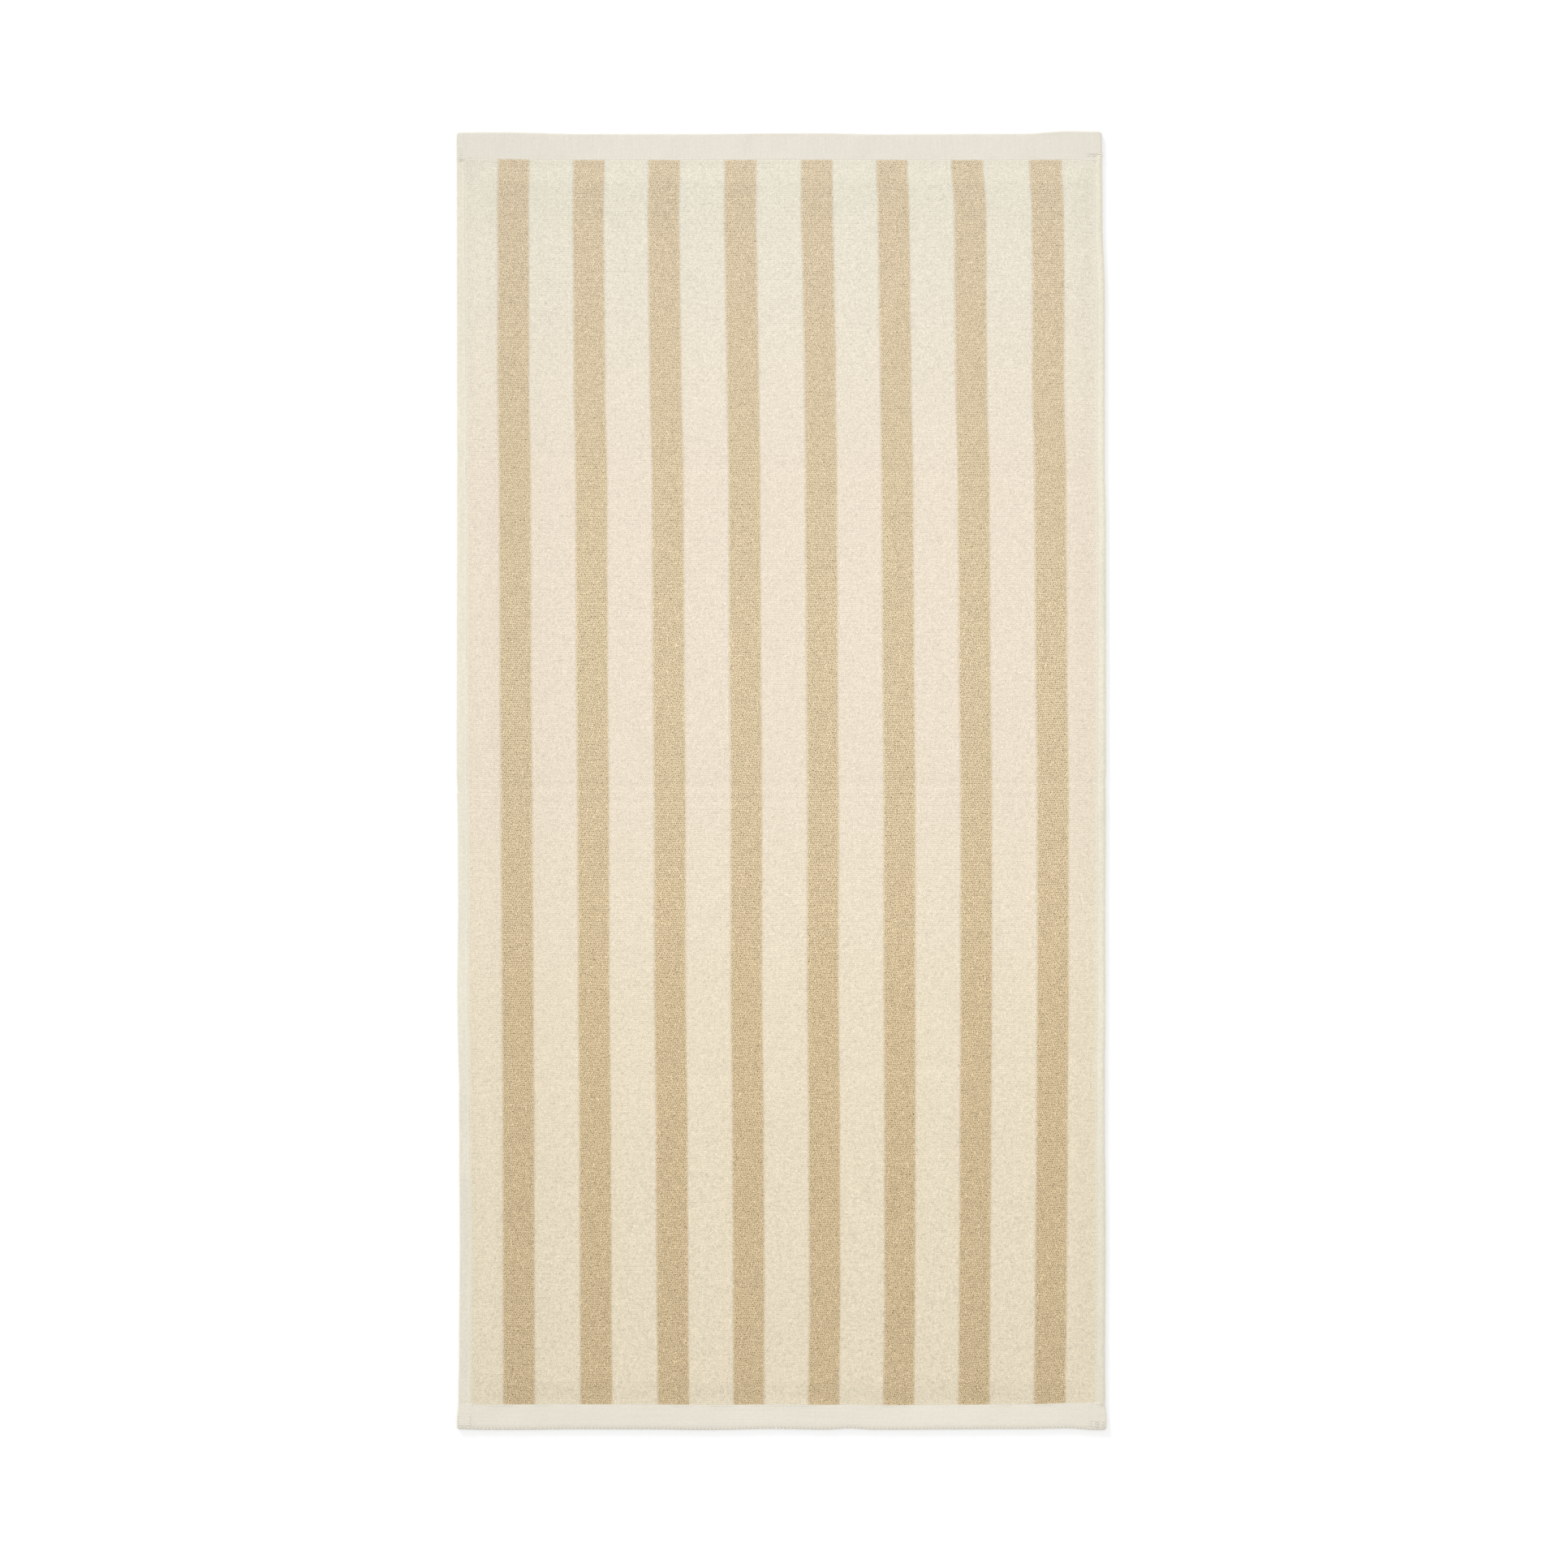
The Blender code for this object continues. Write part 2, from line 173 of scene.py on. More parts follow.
# The pile: its loops are counted across each strip of one colour and down the towel
LOOPS_LEFT = 17
LOOPS_IN_STRIPE = 16
LOOPS_BETWEEN = 23
LOOPS_RIGHT = 15
LOOPS_IN_FIELD = STRIPE_COUNT * LOOPS_IN_STRIPE + (STRIPE_COUNT - 1) * LOOPS_BETWEEN
LOOPS_ACROSS = LOOPS_LEFT + LOOPS_IN_FIELD + LOOPS_RIGHT
LOOPS_DOWN = 621
LOOP_WIDTH = 1.49 * MM
LOOP_LENGTH = 1.544 * MM
RIM_HEIGHT = 2.5 * MM           # the pile's height at its rim, where the sewing holds it down
RIM_REACH = 20.0 * MM           # it rises to its full height over this
FOOT_DROP = 0.25 * MM           # from the rim's loops down to their foot on the hem
GAP_DEPTH = 0.3 * MM            # from the loops' tops to the gaps between them
LOOP_STRAY = 0.10 * MM          # how far each loop stands off its place
GAP_STRAY = 0.08 * MM
BORDER_STRAY = 0.4              # the same between two colours, as a share
LOOP_UNEVEN = 0.08 * MM         # how unlike their heights are
GAP_SHADE_UNLIKE = 0.15               # how unlike the painted shade of the gaps is, as a share
# The strongest painted shade that a gap takes
DARKEST_GAP_SHADE = 1.2
WIDEST_TONE = 2.0               # a loop's tone is at most so many spreads off the middle
RIM_GAP_SHADE = 0.6                   # how strong the painted shade in the gaps at the pile's rim is, as a share
STAGGER = 0.25                  # gaps stand this part of a loop right or left, row by row
BORDER_BLEND = 0.9              # two colours mix over so many loops at their border
BORDER_SHARE = 0.5              # how much of the other colour there is on the border
CALM_RIM = 3.0 * MM             # the outermost loops keep in line over this

# The pile down the towel, in millimetres: how restless its loops are, how dark the painted
# shade in the gaps between them is, how far these slant, its place on the painted light's way
# from a cool to a warm tint, and how light the painted light makes the two colours
PILE_ROWS = table(
    "from_top unrest gap slant warmth pale beige",
    (0, 0.85, 0.75, 1.6, 0.0, 0.906, 0.882),
    (80, 0.85, 0.75, 1.6, 0.12, 0.94, 0.909),
    (180, 0.85, 0.75, 1.6, 0.32, 0.936, 0.91),
    (270, 0.85, 0.82, 1.6, 0.5, 0.933, 0.93),
    (400, 0.8, 0.98, 1.6, 0.51, 0.947, 0.98),
    (500, 0.85, 1.0, 1.6, 0.57, 0.941, 0.963),
    (600, 0.93, 1.0, 1.8, 0.74, 0.94, 0.942),
    (700, 1.05, 0.98, 2.4, 0.92, 0.925, 0.885),
    (850, 1.22, 0.95, 3.6, 1.0, 0.894, 0.84),
    (1001, 1.3, 0.95, 4.0, 1.0, 0.872, 0.813),
)

# Painted light: how light the pile is across the towel, darker towards the sides, in millimetres
PILE_LIGHT_COLUMNS = table(
    "from_left light",
    (10, 0.955),
    (30, 0.968),
    (60, 0.98),
    (100, 1.0),
    (300, 1.012),
    (430, 1.005),
    (475, 1.004),
    (495, 0.99),
)

# A gap between loops, where shade is painted, as shares of a loop's width and length
GAP_ACROSS = 0.48               # half its width
GAP_DOWN = 0.36                 # half its length
GAP_CORE = 0.45                 # it is fully dark out to this share of its half size
ROW_SHADE = 0.28                 # how dark the painted shade between two rows is beside its gaps
ROW_LINE_REACH = 0.45
COLUMN_SHADE = 0.7               # how dark the painted shade between two loops of a row is
COLUMN_LINE_REACH = 0.32
WANDER_ACROSS = 1.5             # how many loops' widths and lengths the loops shift by
WANDER_DOWN = 0.95
WANDER_SCALE = 420.0            # bumps of that shift a metre
SLANT_SCALE = 130.0
DRIFT_SCALE = 170.0             # a wider shift
DRIFT = 0.35                    # how strong it is, as a share of the slant there

# The layers under the pile
GROUND_LOW = 1.4 * MM           # underside of the ground cloth, on the loops of the back
GROUND_THICKNESS = 0.6 * MM
GROUND_INSET = 2.0 * MM         # the ground cloth ends this far inside the folded edges
GROUND_STEP = 15.0 * MM
GROUND_DROP = 0.6 * MM          # how much lower it lies inside the hems
BACK_STEP = 4.0 * MM            # the mesh of the back, finer loops being in its finish
BACK_UNEVEN = 0.16 * MM
BACK_PER_STRIPE = 6             # steps of that mesh across a strip of each colour
BACK_PER_GAP = 9
BACK_WANDER = 1.6               # how many loops the back's loops shift by
BACK_ROUND = 0.6                # how round they are: 1 is peaked, and less is flatter

# The hems and their sewing
HEM_STEP = 1.8 * MM             # steps of each hem's mesh along it
SIDE_STEP = 2.5 * MM
END_HEM_LINES = 8               # steps across the flat part of a hem
SIDE_HEM_LINES = 4
MEAN_END_HEM = 20.0 * MM        # the side hems go in under the end hems from here
PUCKER_LINES = 8                # the puckers are one line out of a field of noise of so many
HEM_TUCK = 1.3 * MM             # how far a hem's inner edge goes in under the pile
HEM_COVER = 0.4 * MM            # it stays flat this far in, and then falls
TUCK_HEIGHT = 1.2 * MM
SIDE_TUCK = 3.0 * MM            # how far a side hem goes in under the end hem
PUCKER = 0.10 * MM              # the sewing's waves along a hem
PUCKER_REACH = 5.0 * MM
PUCKER_FADE = 5.0 * MM          # they fade over this towards the pile
STITCH_PITCH = 3.1 * MM
STITCH_LENGTH = 2.8 * MM
STITCH_UNLIKE = 0.06            # how unlike their lengths are, as a share
STITCH_TURN = 0.04              # how far they turn off the seam, as a share of their length
END_SEAM_STITCHES = 160
SEAM_FROM_LEFT = 5.0 * MM       # where the end seams start and stop
SEAM_FROM_RIGHT = 7.0 * MM
SEAM_FROM_END = 23.0 * MM       # where the side seams do
THREAD_HALF_WIDTH = 0.45 * MM
THREAD_RISE = 0.03 * MM         # how far the pressed thread stands out
KNOB_PITCH = 2.94 * MM          # the small knobs along the bottom fold
KNOB_LENGTH = 2.2 * MM
KNOB_UNLIKE = 0.15              # how unlike their lengths are, as a share
KNOB_HALF_WIDTH = 0.5 * MM
KNOB_RISE = 0.42 * MM
KNOB_MARGIN = 3.0 * MM          # they start and stop this far from the corners
KNOB_INSET = 1.0 * MM
KNOB_WAY = (0.5, 1.0, 0.7)      # they slant over the fold in this direction
KNOB_TURN = 0.3                 # and differ in it by this
KNOB_UP = (0.0, -0.6, 0.8)
BAR_THREAD_LENGTH = 3.6 * MM
BAR_THREAD_OVERLAP = 1.05       # each is a little longer than its share of the row
BAR_THREAD_UNLIKE = 0.08
BAR_THREAD_TURN = 0.1
BAR_THREAD_HALF_WIDTH = 0.45 * MM
BAR_THREAD_RISE = 0.05 * MM
THREAD_STRAY = 0.15 * MM        # how far knobs and bar threads stand off their places
BAR_ROW_STRAY = 0.1 * MM
BAR_THREAD_LIFT = 0.05 * MM     # how far their middles lie over the hem
THREAD_BODY = 0.34              # a thread is full out to this share of its length, and then pointed

# Room between chunks on the maps, and the hems' widths there
MAP_MARGIN = 1.5 * MM
END_HEM_MAP_WIDTH = 21.0 * MM
SIDE_HEM_MAP_WIDTH = 10.0 * MM
PALE_CHUNKS = 5                 # a strip's length is cut into so many chunks on its map
BEIGE_CHUNKS = 6
BACK_CHUNKS = 2
END_HEM_CHUNKS = 3
SIDE_HEM_CHUNKS = 6

# Short rows of close stitches at the corners, in millimetres from the left and from the
# nearer end. The rows run across the towel.
BARS = table(
    "end first_left last_left first_in last_in rows",
    (1, 2.6, 9.2, 12.0, 21.5, 6),
    (-1, 2.4, 9.0, 1.8, 10.6, 6),
    (1, 486.6, 496.0, 17.2, 18.6, 2),
    (-1, 488.0, 498.6, 1.8, 7.0, 4),
)

# Colours are linear. The pile has a loop colour, a gap colour that is painted shade between the
# loops, and the painted light's tints that both take where the light is cool, even and warm.
Pile = namedtuple("Pile", "loop gap cool even warm")
CREAM = Pile(
    loop=(0.95, 0.85, 0.71), gap=(0.80, 0.68, 0.53),
    cool=(0.93, 1.0, 1.01), even=(0.996, 1.0, 0.999), warm=(0.993, 1.0, 0.93),
)
BEIGE = Pile(
    loop=(0.94, 0.75, 0.515), gap=(0.38, 0.27, 0.155),
    cool=(0.955, 1.0, 1.03), even=(0.966, 1.0, 0.963), warm=(1.006, 1.0, 0.903),
)
TOP_HEM_COLOUR = (0.735, 0.70, 0.61)
BOTTOM_HEM_COLOUR = (0.75, 0.712, 0.615)
LEFT_HEM_COLOUR = (0.764, 0.719, 0.602)
RIGHT_HEM_COLOUR = (0.785, 0.742, 0.612)
THREAD_COLOUR = (0.775, 0.735, 0.63)
KNOB_COLOUR = (0.79, 0.745, 0.645)

# Each finish, with the strength and depth of its bumps
Finish = namedtuple("Finish", "roughness specular sheen sheen_roughness bump bump_depth")
TERRY_FINISH = Finish(0.95, 0.2, 0.2, 0.6, 0.5, 0.2 * MM)
BACK_FINISH = Finish(0.95, 0.2, 0.2, 0.6, 0.8, 0.7 * MM)
WOVEN_FINISH = Finish(0.8, 0.25, 0.1, 0.5, 0.5, 0.08 * MM)
GROUND_FINISH = Finish(0.9, 0.2, 0.0, 0.5, 0.0, 0.0)
THREAD_FINISH = Finish(0.6, 0.3, 0.0, 0.5, 0.0, 0.0)
WEAVE_ROUGHER = 0.1             # how much rougher the raised threads of a weave are

# Unevenness of a colour or a height: bumps a metre, how fine its detail is, and how strong it is
Grain = namedtuple("Grain", "scale detail amount")
CREAM_TONE = 0.02               # how unlike two loops are
CREAM_GRAINS = (Grain(28.0, 2.0, 0.01), Grain(1500.0, 3.0, 0.06), Grain(800.0, 0.0, 0.115))
BEIGE_TONE = 0.04
BEIGE_GRAINS = (Grain(28.0, 2.0, 0.02), Grain(1500.0, 3.0, 0.06), Grain(800.0, 0.0, 0.175))
FLUFF = Grain(1900.0, 3.0, 0.4)
BACK_SHIFT_SCALE = 300.0
BACK_GRAIN = Grain(500.0, 3.0, 0.08)
BACK_FLUFF = Grain(1900.0, 3.0, 0.25)
WOVEN_STREAKS = Grain(60.0, 3.0, 0.05)
WOVEN_PATCHES = Grain(22.0, 2.0, 0.03)
END_HEM_SPECKS = Grain(480.0, 1.0, 0.06)
SIDE_HEM_SPECKS = Grain(480.0, 1.0, 0.13)
WOVEN_FIBRES = Grain(1200.0, 3.0, 1.0)
WEAVE_SHADE = 0.03               # painted shade: how much lighter raised and darker sunken threads of a weave are
WEAVE_PITCH = 0.62 * MM
GROUND_GRAIN = Grain(400.0, 2.0, 0.05)
THREAD_GRAIN = Grain(900.0, 2.0, 0.08)
# A weave's streaks are short where these numbers, across and along, are high
TOP_STREAKS = (12.0, 1.0, 1.0)
BOTTOM_STREAKS = (0.25, 12.0, 1.0)
SIDE_STREAKS = (3.0, 0.5, 1.0)

# Painted light: how light the side hems are down the towel, in millimetres
SIDE_HEM_LIGHT_ROWS = table(
    "from_top left right",
    (0, 0.955, 0.955),
    (120, 0.98, 0.965),
    (250, 1.005, 0.99),
    (420, 1.017, 0.985),
    (540, 0.99, 0.963),
    (640, 1.0, 0.98),
    (780, 0.945, 0.95),
    (900, 0.93, 0.915),
    (1001, 0.93, 0.895),
)

# Painted light: how light the end hems are across the towel, in millimetres
END_HEM_LIGHT_COLUMNS = table(
    "from_left top bottom",
    (0, 0.965, 0.97),
    (60, 0.98, 0.98),
    (150, 1.0, 0.99),
    (250, 1.0, 1.0),
    (400, 1.0, 1.015),
    (501, 0.975, 0.99),
)
# Painted shade: how much darker each fold is at its edge, at the ends and at the sides
END_SHADE = {-1: 0.13, 1: 0.12}
END_SHADE_REACH = {-1: 3.2 * MM, 1: 1.8 * MM}
SIDE_SHADE = {-1: 0.09, 1: 0.0}
SIDE_SHADE_REACH = 1.8 * MM
# A painted highlight: the lighter line along each side hem, at the sewing
RIDGE_LIGHT = {-1: 0.05, 1: 0.01}
RIDGE_INSET = 1.7 * MM
RIDGE_REACH = 1.4 * MM

# The camera, and the photo's frame at the towel
FRAME_WIDTH = 1207.5 * MM
FRAME_MIDDLE = (1.84 * MM, -2.5 * MM)
FOCAL_LENGTH = 85.0
SENSOR_WIDTH = 36.0
FRAME_HEIGHT = 3.0 * MM         # the frame is that wide at this height

# The white surface and the light
FLOOR_SIZE = 8.0
FLOOR_DROP = 0.05 * MM
FLOOR_WHITE = 0.93
FLOOR_ROUGHNESS = 0.9
FLOOR_GLOW = 0.04
SKY_STRENGTH = 0.965
LAMP_PLACE = (-5.5, 9.9, 3.1)
LAMP_SIZE = 1.7
LAMP_POWER = 590.0

SOLVING_PASSES = 3              # X and Y of edge points depend on each other, and settle in these
SEED = 20
rng = np.random.default_rng(SEED)


# Shape of the cloth

def ease(share):
    """0 to 1 with a flat start and end."""
    share = np.clip(share, 0.0, 1.0)
    return share * share * (3.0 - 2.0 * share)


def read_table(rows, key, place, column):
    """A column's values at places in millimetres, eased between the rows."""
    marks = np.array([getattr(row, key) for row in rows], float)
    values = np.array([getattr(row, column) for row in rows], float)
    place = np.clip(place, marks[0], marks[-1])
    before = np.clip(np.searchsorted(marks, place, side="right") - 1, 0, len(marks) - 2)
    share = (place - marks[before]) / (marks[before + 1] - marks[before])
    return values[before] + (values[before + 1] - values[before]) * ease(share)


def from_top(y):
    return (LENGTH / 2 - y) / MM


def from_left(x):
    return (WIDTH / 2 + x) / MM


def crease_share(crease, x, y):
    """1 on the crease's line, falling to nothing beside it."""
    share = np.clip(x / WIDTH + 0.5, 0.0, 1.0)
    place = crease.left_from_top + (crease.right_from_top - crease.left_from_top) * share
    away = (from_top(y) - place) / crease.half_width
    return np.exp(-2.0 * away * away)


def side_edge(y, side):
    """X of a long edge. side is -1 on the left and 1 on the right."""
    column = "left_in" if side < 0 else "right_in"
    inward = read_table(SIDES, "from_top", from_top(y), column)
    for crease in CREASES:
        inward = inward + crease.nick * crease_share(crease, side * WIDTH / 2, y)
    return side * (WIDTH / 2 - inward * MM)


def end_edge(x, end):
    """Y of an end. end is -1 at the bottom and 1 at the top."""
    column = "bottom_in" if end < 0 else "top_in"
    return end * (LENGTH / 2 - read_table(ENDS, "from_left", from_left(x), column) * MM)


def side_hem(y, side):
    column = "left_hem" if side < 0 else "right_hem"
    return read_table(SIDES, "from_top", from_top(y), column) * MM


def end_hem(x, end):
    column = "bottom_hem" if end < 0 else "top_hem"
    return read_table(ENDS, "from_left", from_left(x), column) * MM + END_HEM_MORE[end]


def stripe_line(stripe, y):
    """X of a stripe's middle at this Y, or of a line between two stripes if it is a fraction."""
    place = min(max(stripe, LEANING[0]), LEANING[-1])
    after = next(n for n in LEANING if n >= place)
    before = max(n for n in LEANING if n <= place)
    low = read_table(LEANS, "from_top", from_top(y), f"stripe_{before}")
    high = read_table(LEANS, "from_top", from_top(y), f"stripe_{after}")
    share = (place - before) / (after - before) if after > before else 0.0
    return FIRST_STRIPE + (stripe - 1) * STRIPE_PITCH + (low + (high - low) * share) * MM


def folds(x, y, in_field):
    """How far creases and swells move the upper face. in_field is 0 in a hem and 1 in the pile."""
    height = np.zeros_like(x)
    for crease in CREASES:
        strength = HEM_CREASE + (1.0 - HEM_CREASE) * in_field
        height -= crease.depth * MM * crease_share(crease, x, y) * strength
    for swell in SWELLS:
        across = (from_left(x) - swell.from_left) / swell.reach_across
        along = (from_top(y) - swell.from_top) / swell.reach_along
        height += swell.rise * MM * np.exp(-(across * across + along * along)) * in_field
    return height


def pile_end(x, end):
    """Y of the pile's foot at an end."""
    return end_edge(x, end) - end * end_hem(x, end)


def pile_side(y, side):
    """X of the pile's foot at a side."""
    return side_edge(y, side) - side * side_hem(y, side)


def field_share(x, y, shoulder):
    """0 at the pile's foot, and 1 this far and further inside it."""
    across = np.minimum(x - pile_side(y, -1), pile_side(y, 1) - x)
    along = np.minimum(y - pile_end(x, -1), pile_end(x, 1) - y)
    return ease(across / shoulder) * ease(along / shoulder)


def pile_height(x, y):
    """Height of the loops' tops before creases, low at the rim."""
    return RIM_HEIGHT + (PILE_HEIGHT - RIM_HEIGHT) * field_share(x, y, RIM_REACH)


def smooth_noise(shape, reach):
    """Random values with a spread of 1 that change smoothly over so many steps of the grid."""
    white = rng.standard_normal(shape)
    down = np.fft.fftfreq(shape[0])[:, None] * reach
    across = np.fft.rfftfreq(shape[1])[None, :] * reach
    damping = np.exp(-2.0 * pi * pi * (down * down + across * across))
    field = np.fft.irfft2(np.fft.rfft2(white) * damping, s=shape)
    return field / field.std()


# Meshes from arrays

def make_piece(name, points, faces, material, uvs=None, numbers=None):
    """An object from arrays of points and faces, smooth, riding on the towel's body."""
    mesh = bpy.data.meshes.new(name)
    corners = faces.shape[1]
    mesh.vertices.add(len(points))
    mesh.vertices.foreach_set("co", np.asarray(points, np.float32).ravel())
    mesh.loops.add(faces.size)
    mesh.loops.foreach_set("vertex_index", np.asarray(faces, np.int32).ravel())
    mesh.polygons.add(len(faces))
    mesh.polygons.foreach_set("loop_start", np.arange(0, faces.size, corners, dtype=np.int32))
    mesh.update(calc_edges=True)
    if uvs is not None:
        layer = mesh.uv_layers.new(name="OFBake")
        layer.data.foreach_set("uv", np.asarray(uvs, np.float32).ravel())
    for key, values in (numbers or {}).items():
        store = mesh.attributes.new(key, "FLOAT", "POINT")
        store.data.foreach_set("value", np.asarray(values, np.float32).ravel())
    mesh.shade_smooth()
    mesh.materials.append(material)
    piece = bpy.data.objects.new(name, mesh)
    bpy.context.scene.collection.objects.link(piece)
    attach(piece, "root")
    return piece


def cut_in_chunks(along, across, steps, step_length, width, chunks, first_chunk, all_chunks):
    """UV places for a long strip, cut into chunks that lie side by side.

    along and across hold a row for each face and a column for each of its corners: the corner's
    place down the strip in steps, and across it in metres. A face lies in the chunk of its first
    step, so that none spans two chunks.
    """
    per_chunk = -(-steps // chunks)
    face_step = np.floor(along.min(axis=-1, keepdims=True) + 1e-6)
    chunk = np.minimum(face_step // per_chunk, chunks - 1)
    column = width + MAP_MARGIN
    size = max(all_chunks * column, per_chunk * step_length + MAP_MARGIN)
    u = ((first_chunk + chunk) * column + MAP_MARGIN / 2 + across) / size
    v = ((along - chunk * per_chunk) * step_length + MAP_MARGIN / 2) / size
    return np.stack([u, v], axis=-1)


def grid_quads(index):
    """Quads over a grid of point numbers, anticlockwise where rows run down and columns right."""
    return np.stack([index[:-1, :-1], index[1:, :-1], index[1:, 1:], index[:-1, 1:]], axis=-1)


def make_pillow(name, x, y, top, low, material, step_length, width, chunks, light=1.0):
    """A thin closed piece: an upper and a lower face on one grid, which share their rim."""
    rows, columns = x.shape
    upper = np.arange(rows * columns).reshape(rows, columns)
    lower = upper.copy()
    lower[1:-1, 1:-1] = rows * columns + np.arange((rows - 2) * (columns - 2)).reshape(rows - 2, columns - 2)
    points = np.stack([x, y, top], axis=-1).reshape(-1, 3)
    under = np.stack([x, y, low], axis=-1)[1:-1, 1:-1].reshape(-1, 3)
    faces = np.concatenate([grid_quads(upper).reshape(-1, 4), grid_quads(lower)[..., ::-1].reshape(-1, 4)])
    steps = np.broadcast_to(np.arange(rows)[:, None], x.shape).astype(float)
    spread = np.broadcast_to(np.linspace(0.0, width, columns)[None, :], x.shape)
    along = grid_quads(steps).reshape(-1, 4)
    across = grid_quads(spread).reshape(-1, 4)
    over = cut_in_chunks(along, across, rows - 1, step_length, width, chunks, 0, 2 * chunks)
    below = cut_in_chunks(along, across, rows - 1, step_length, width, chunks, chunks, 2 * chunks)
    uvs = np.concatenate([over, below[:, ::-1]])
    # Anticlockwise from above only if rows run down and columns run right
    first = points[faces[0]]
    turn = np.cross(first[1] - first[0], first[2] - first[0])[2]
    if turn < 0.0:
        faces = faces[:, ::-1]
        uvs = uvs[:, ::-1]
    # light is painted light and shade, a factor on the piece's colour
    light = np.broadcast_to(light, x.shape)
    numbers = {"light": np.concatenate([light.ravel(), light[1:-1, 1:-1].ravel()])}
    return make_piece(name, np.concatenate([points, under]), faces, material, uvs, numbers)


# Materials

def node(tree, kind, inputs=None, **settings):
    """Adds a node. An input is a number or colour, or the output that feeds it."""
    made = tree.nodes.new(kind)
    for key, value in settings.items():
        setattr(made, key, value)
    for key, value in (inputs or {}).items():
        if isinstance(value, bpy.types.NodeSocket):
            tree.links.new(value, made.inputs[key])
        else:
            made.inputs[key].default_value = value
    return made


def calc(tree, operation, *values):
    """The output of a Math node."""
    return node(tree, "ShaderNodeMath", dict(enumerate(values)), operation=operation).outputs[0]


def product(tree, first, *others):
    """The product of outputs and numbers."""
    for other in others:
        first = calc(tree, "MULTIPLY", first, other)
    return first


def noise(tree, scale, detail=2.0, stretch=(1.0, 1.0, 1.0)):
    """Noise from 0 to 1 on the towel's own coordinates, with so many bumps a metre."""
    place = node(tree, "ShaderNodeTexCoord").outputs["Object"]
    moved = node(tree, "ShaderNodeMapping", {"Vector": place, "Scale": stretch}).outputs["Vector"]
    settings = {"Vector": moved, "Scale": scale, "Detail": detail}
    return node(tree, "ShaderNodeTexNoise", settings).outputs["Fac"]


def noise_vector(tree, scale):
    """Unlike noises from 0 to 1, as separate outputs."""
    place = node(tree, "ShaderNodeTexCoord").outputs["Object"]
    settings = {"Vector": place, "Scale": scale, "Detail": 0.0}
    colour = node(tree, "ShaderNodeTexNoise", settings).outputs["Color"]
    return node(tree, "ShaderNodeSeparateColor", {"Color": colour}).outputs


def number(tree, name):
    """A number kept on the mesh's points."""
    return node(tree, "ShaderNodeAttribute", attribute_name=name).outputs["Fac"]


def centred(tree, value, amount):
    """1 plus or minus up to the amount, from a value of 0 to 1."""
    return calc(tree, "MULTIPLY_ADD", value, 2.0 * amount, 1.0 - amount)


def uneven(tree, grain, stretch=(1.0, 1.0, 1.0)):
    """A factor about 1 that changes from place to place."""
    return centred(tree, noise(tree, grain.scale, grain.detail, stretch), grain.amount)


def fluffy(tree, height, grain):
    """A height with fine fibres on it."""
    return calc(tree, "MULTIPLY_ADD", noise(tree, grain.scale, grain.detail), grain.amount, height)


def new_material(name):
    material = bpy.data.materials.new(name)
    material.use_nodes = True
    tree = material.node_tree
    return material, tree, tree.nodes["Principled BSDF"]


def blended(tree, share, low, high):
    """A colour between two, by a share. Each of the two is a colour or the output that feeds it."""
    low, high = (c if isinstance(c, bpy.types.NodeSocket) else (*c, 1.0) for c in (low, high))
    mixer = node(tree, "ShaderNodeMix", data_type="RGBA")
    for socket, value in ((0, share), (6, low), (7, high)):
        if isinstance(value, bpy.types.NodeSocket):
            tree.links.new(value, mixer.inputs[socket])
        else:
            mixer.inputs[socket].default_value = value
    return mixer.outputs[2]


def through(tree, share, colours):
    """A colour on the way through three, by a share of 0 to 1."""
    ramp = node(tree, "ShaderNodeValToRGB", {"Fac": share})
    stops = ramp.color_ramp.elements
    stops.new(0.5)
    for stop, colour in zip(stops, colours):
        stop.color = (*colour, 1.0)
    return ramp.outputs["Color"]


def dress(tree, shader, finish, colour, factor, height=None):
    """Joins a material up: a colour times a factor, the finish, and bumps of a height, if given."""
    if not isinstance(colour, bpy.types.NodeSocket):
        base = node(tree, "ShaderNodeRGB").outputs[0]
        base.default_value = (*colour, 1.0)
        colour = base
    scaler = node(tree, "ShaderNodeVectorMath", {"Vector": colour, "Scale": factor}, operation="SCALE")
    tree.links.new(scaler.outputs["Vector"], shader.inputs["Base Color"])
    if height is not None:
        sizes = {"Height": height, "Strength": finish.bump, "Distance": finish.bump_depth}
        tree.links.new(node(tree, "ShaderNodeBump", sizes).outputs["Normal"], shader.inputs["Normal"])
    shader.inputs["Roughness"].default_value = finish.roughness
    shader.inputs["Specular IOR Level"].default_value = finish.specular
    shader.inputs["Sheen Weight"].default_value = finish.sheen
    shader.inputs["Sheen Roughness"].default_value = finish.sheen_roughness


def fall(tree, value, start, end):
    """1 up to the start, falling smoothly to 0 at the end."""
    limits = {"Value": value, "From Min": start, "From Max": end, "To Min": 1.0, "To Max": 0.0}
    return node(tree, "ShaderNodeMapRange", limits, interpolation_type="SMOOTHSTEP").outputs["Result"]


def from_whole(tree, count):
    """How far a running count is from the nearest whole number, -0.5 to 0.5."""
    return calc(tree, "SUBTRACT", calc(tree, "FRACT", calc(tree, "ADD", count, 0.5)), 0.5)


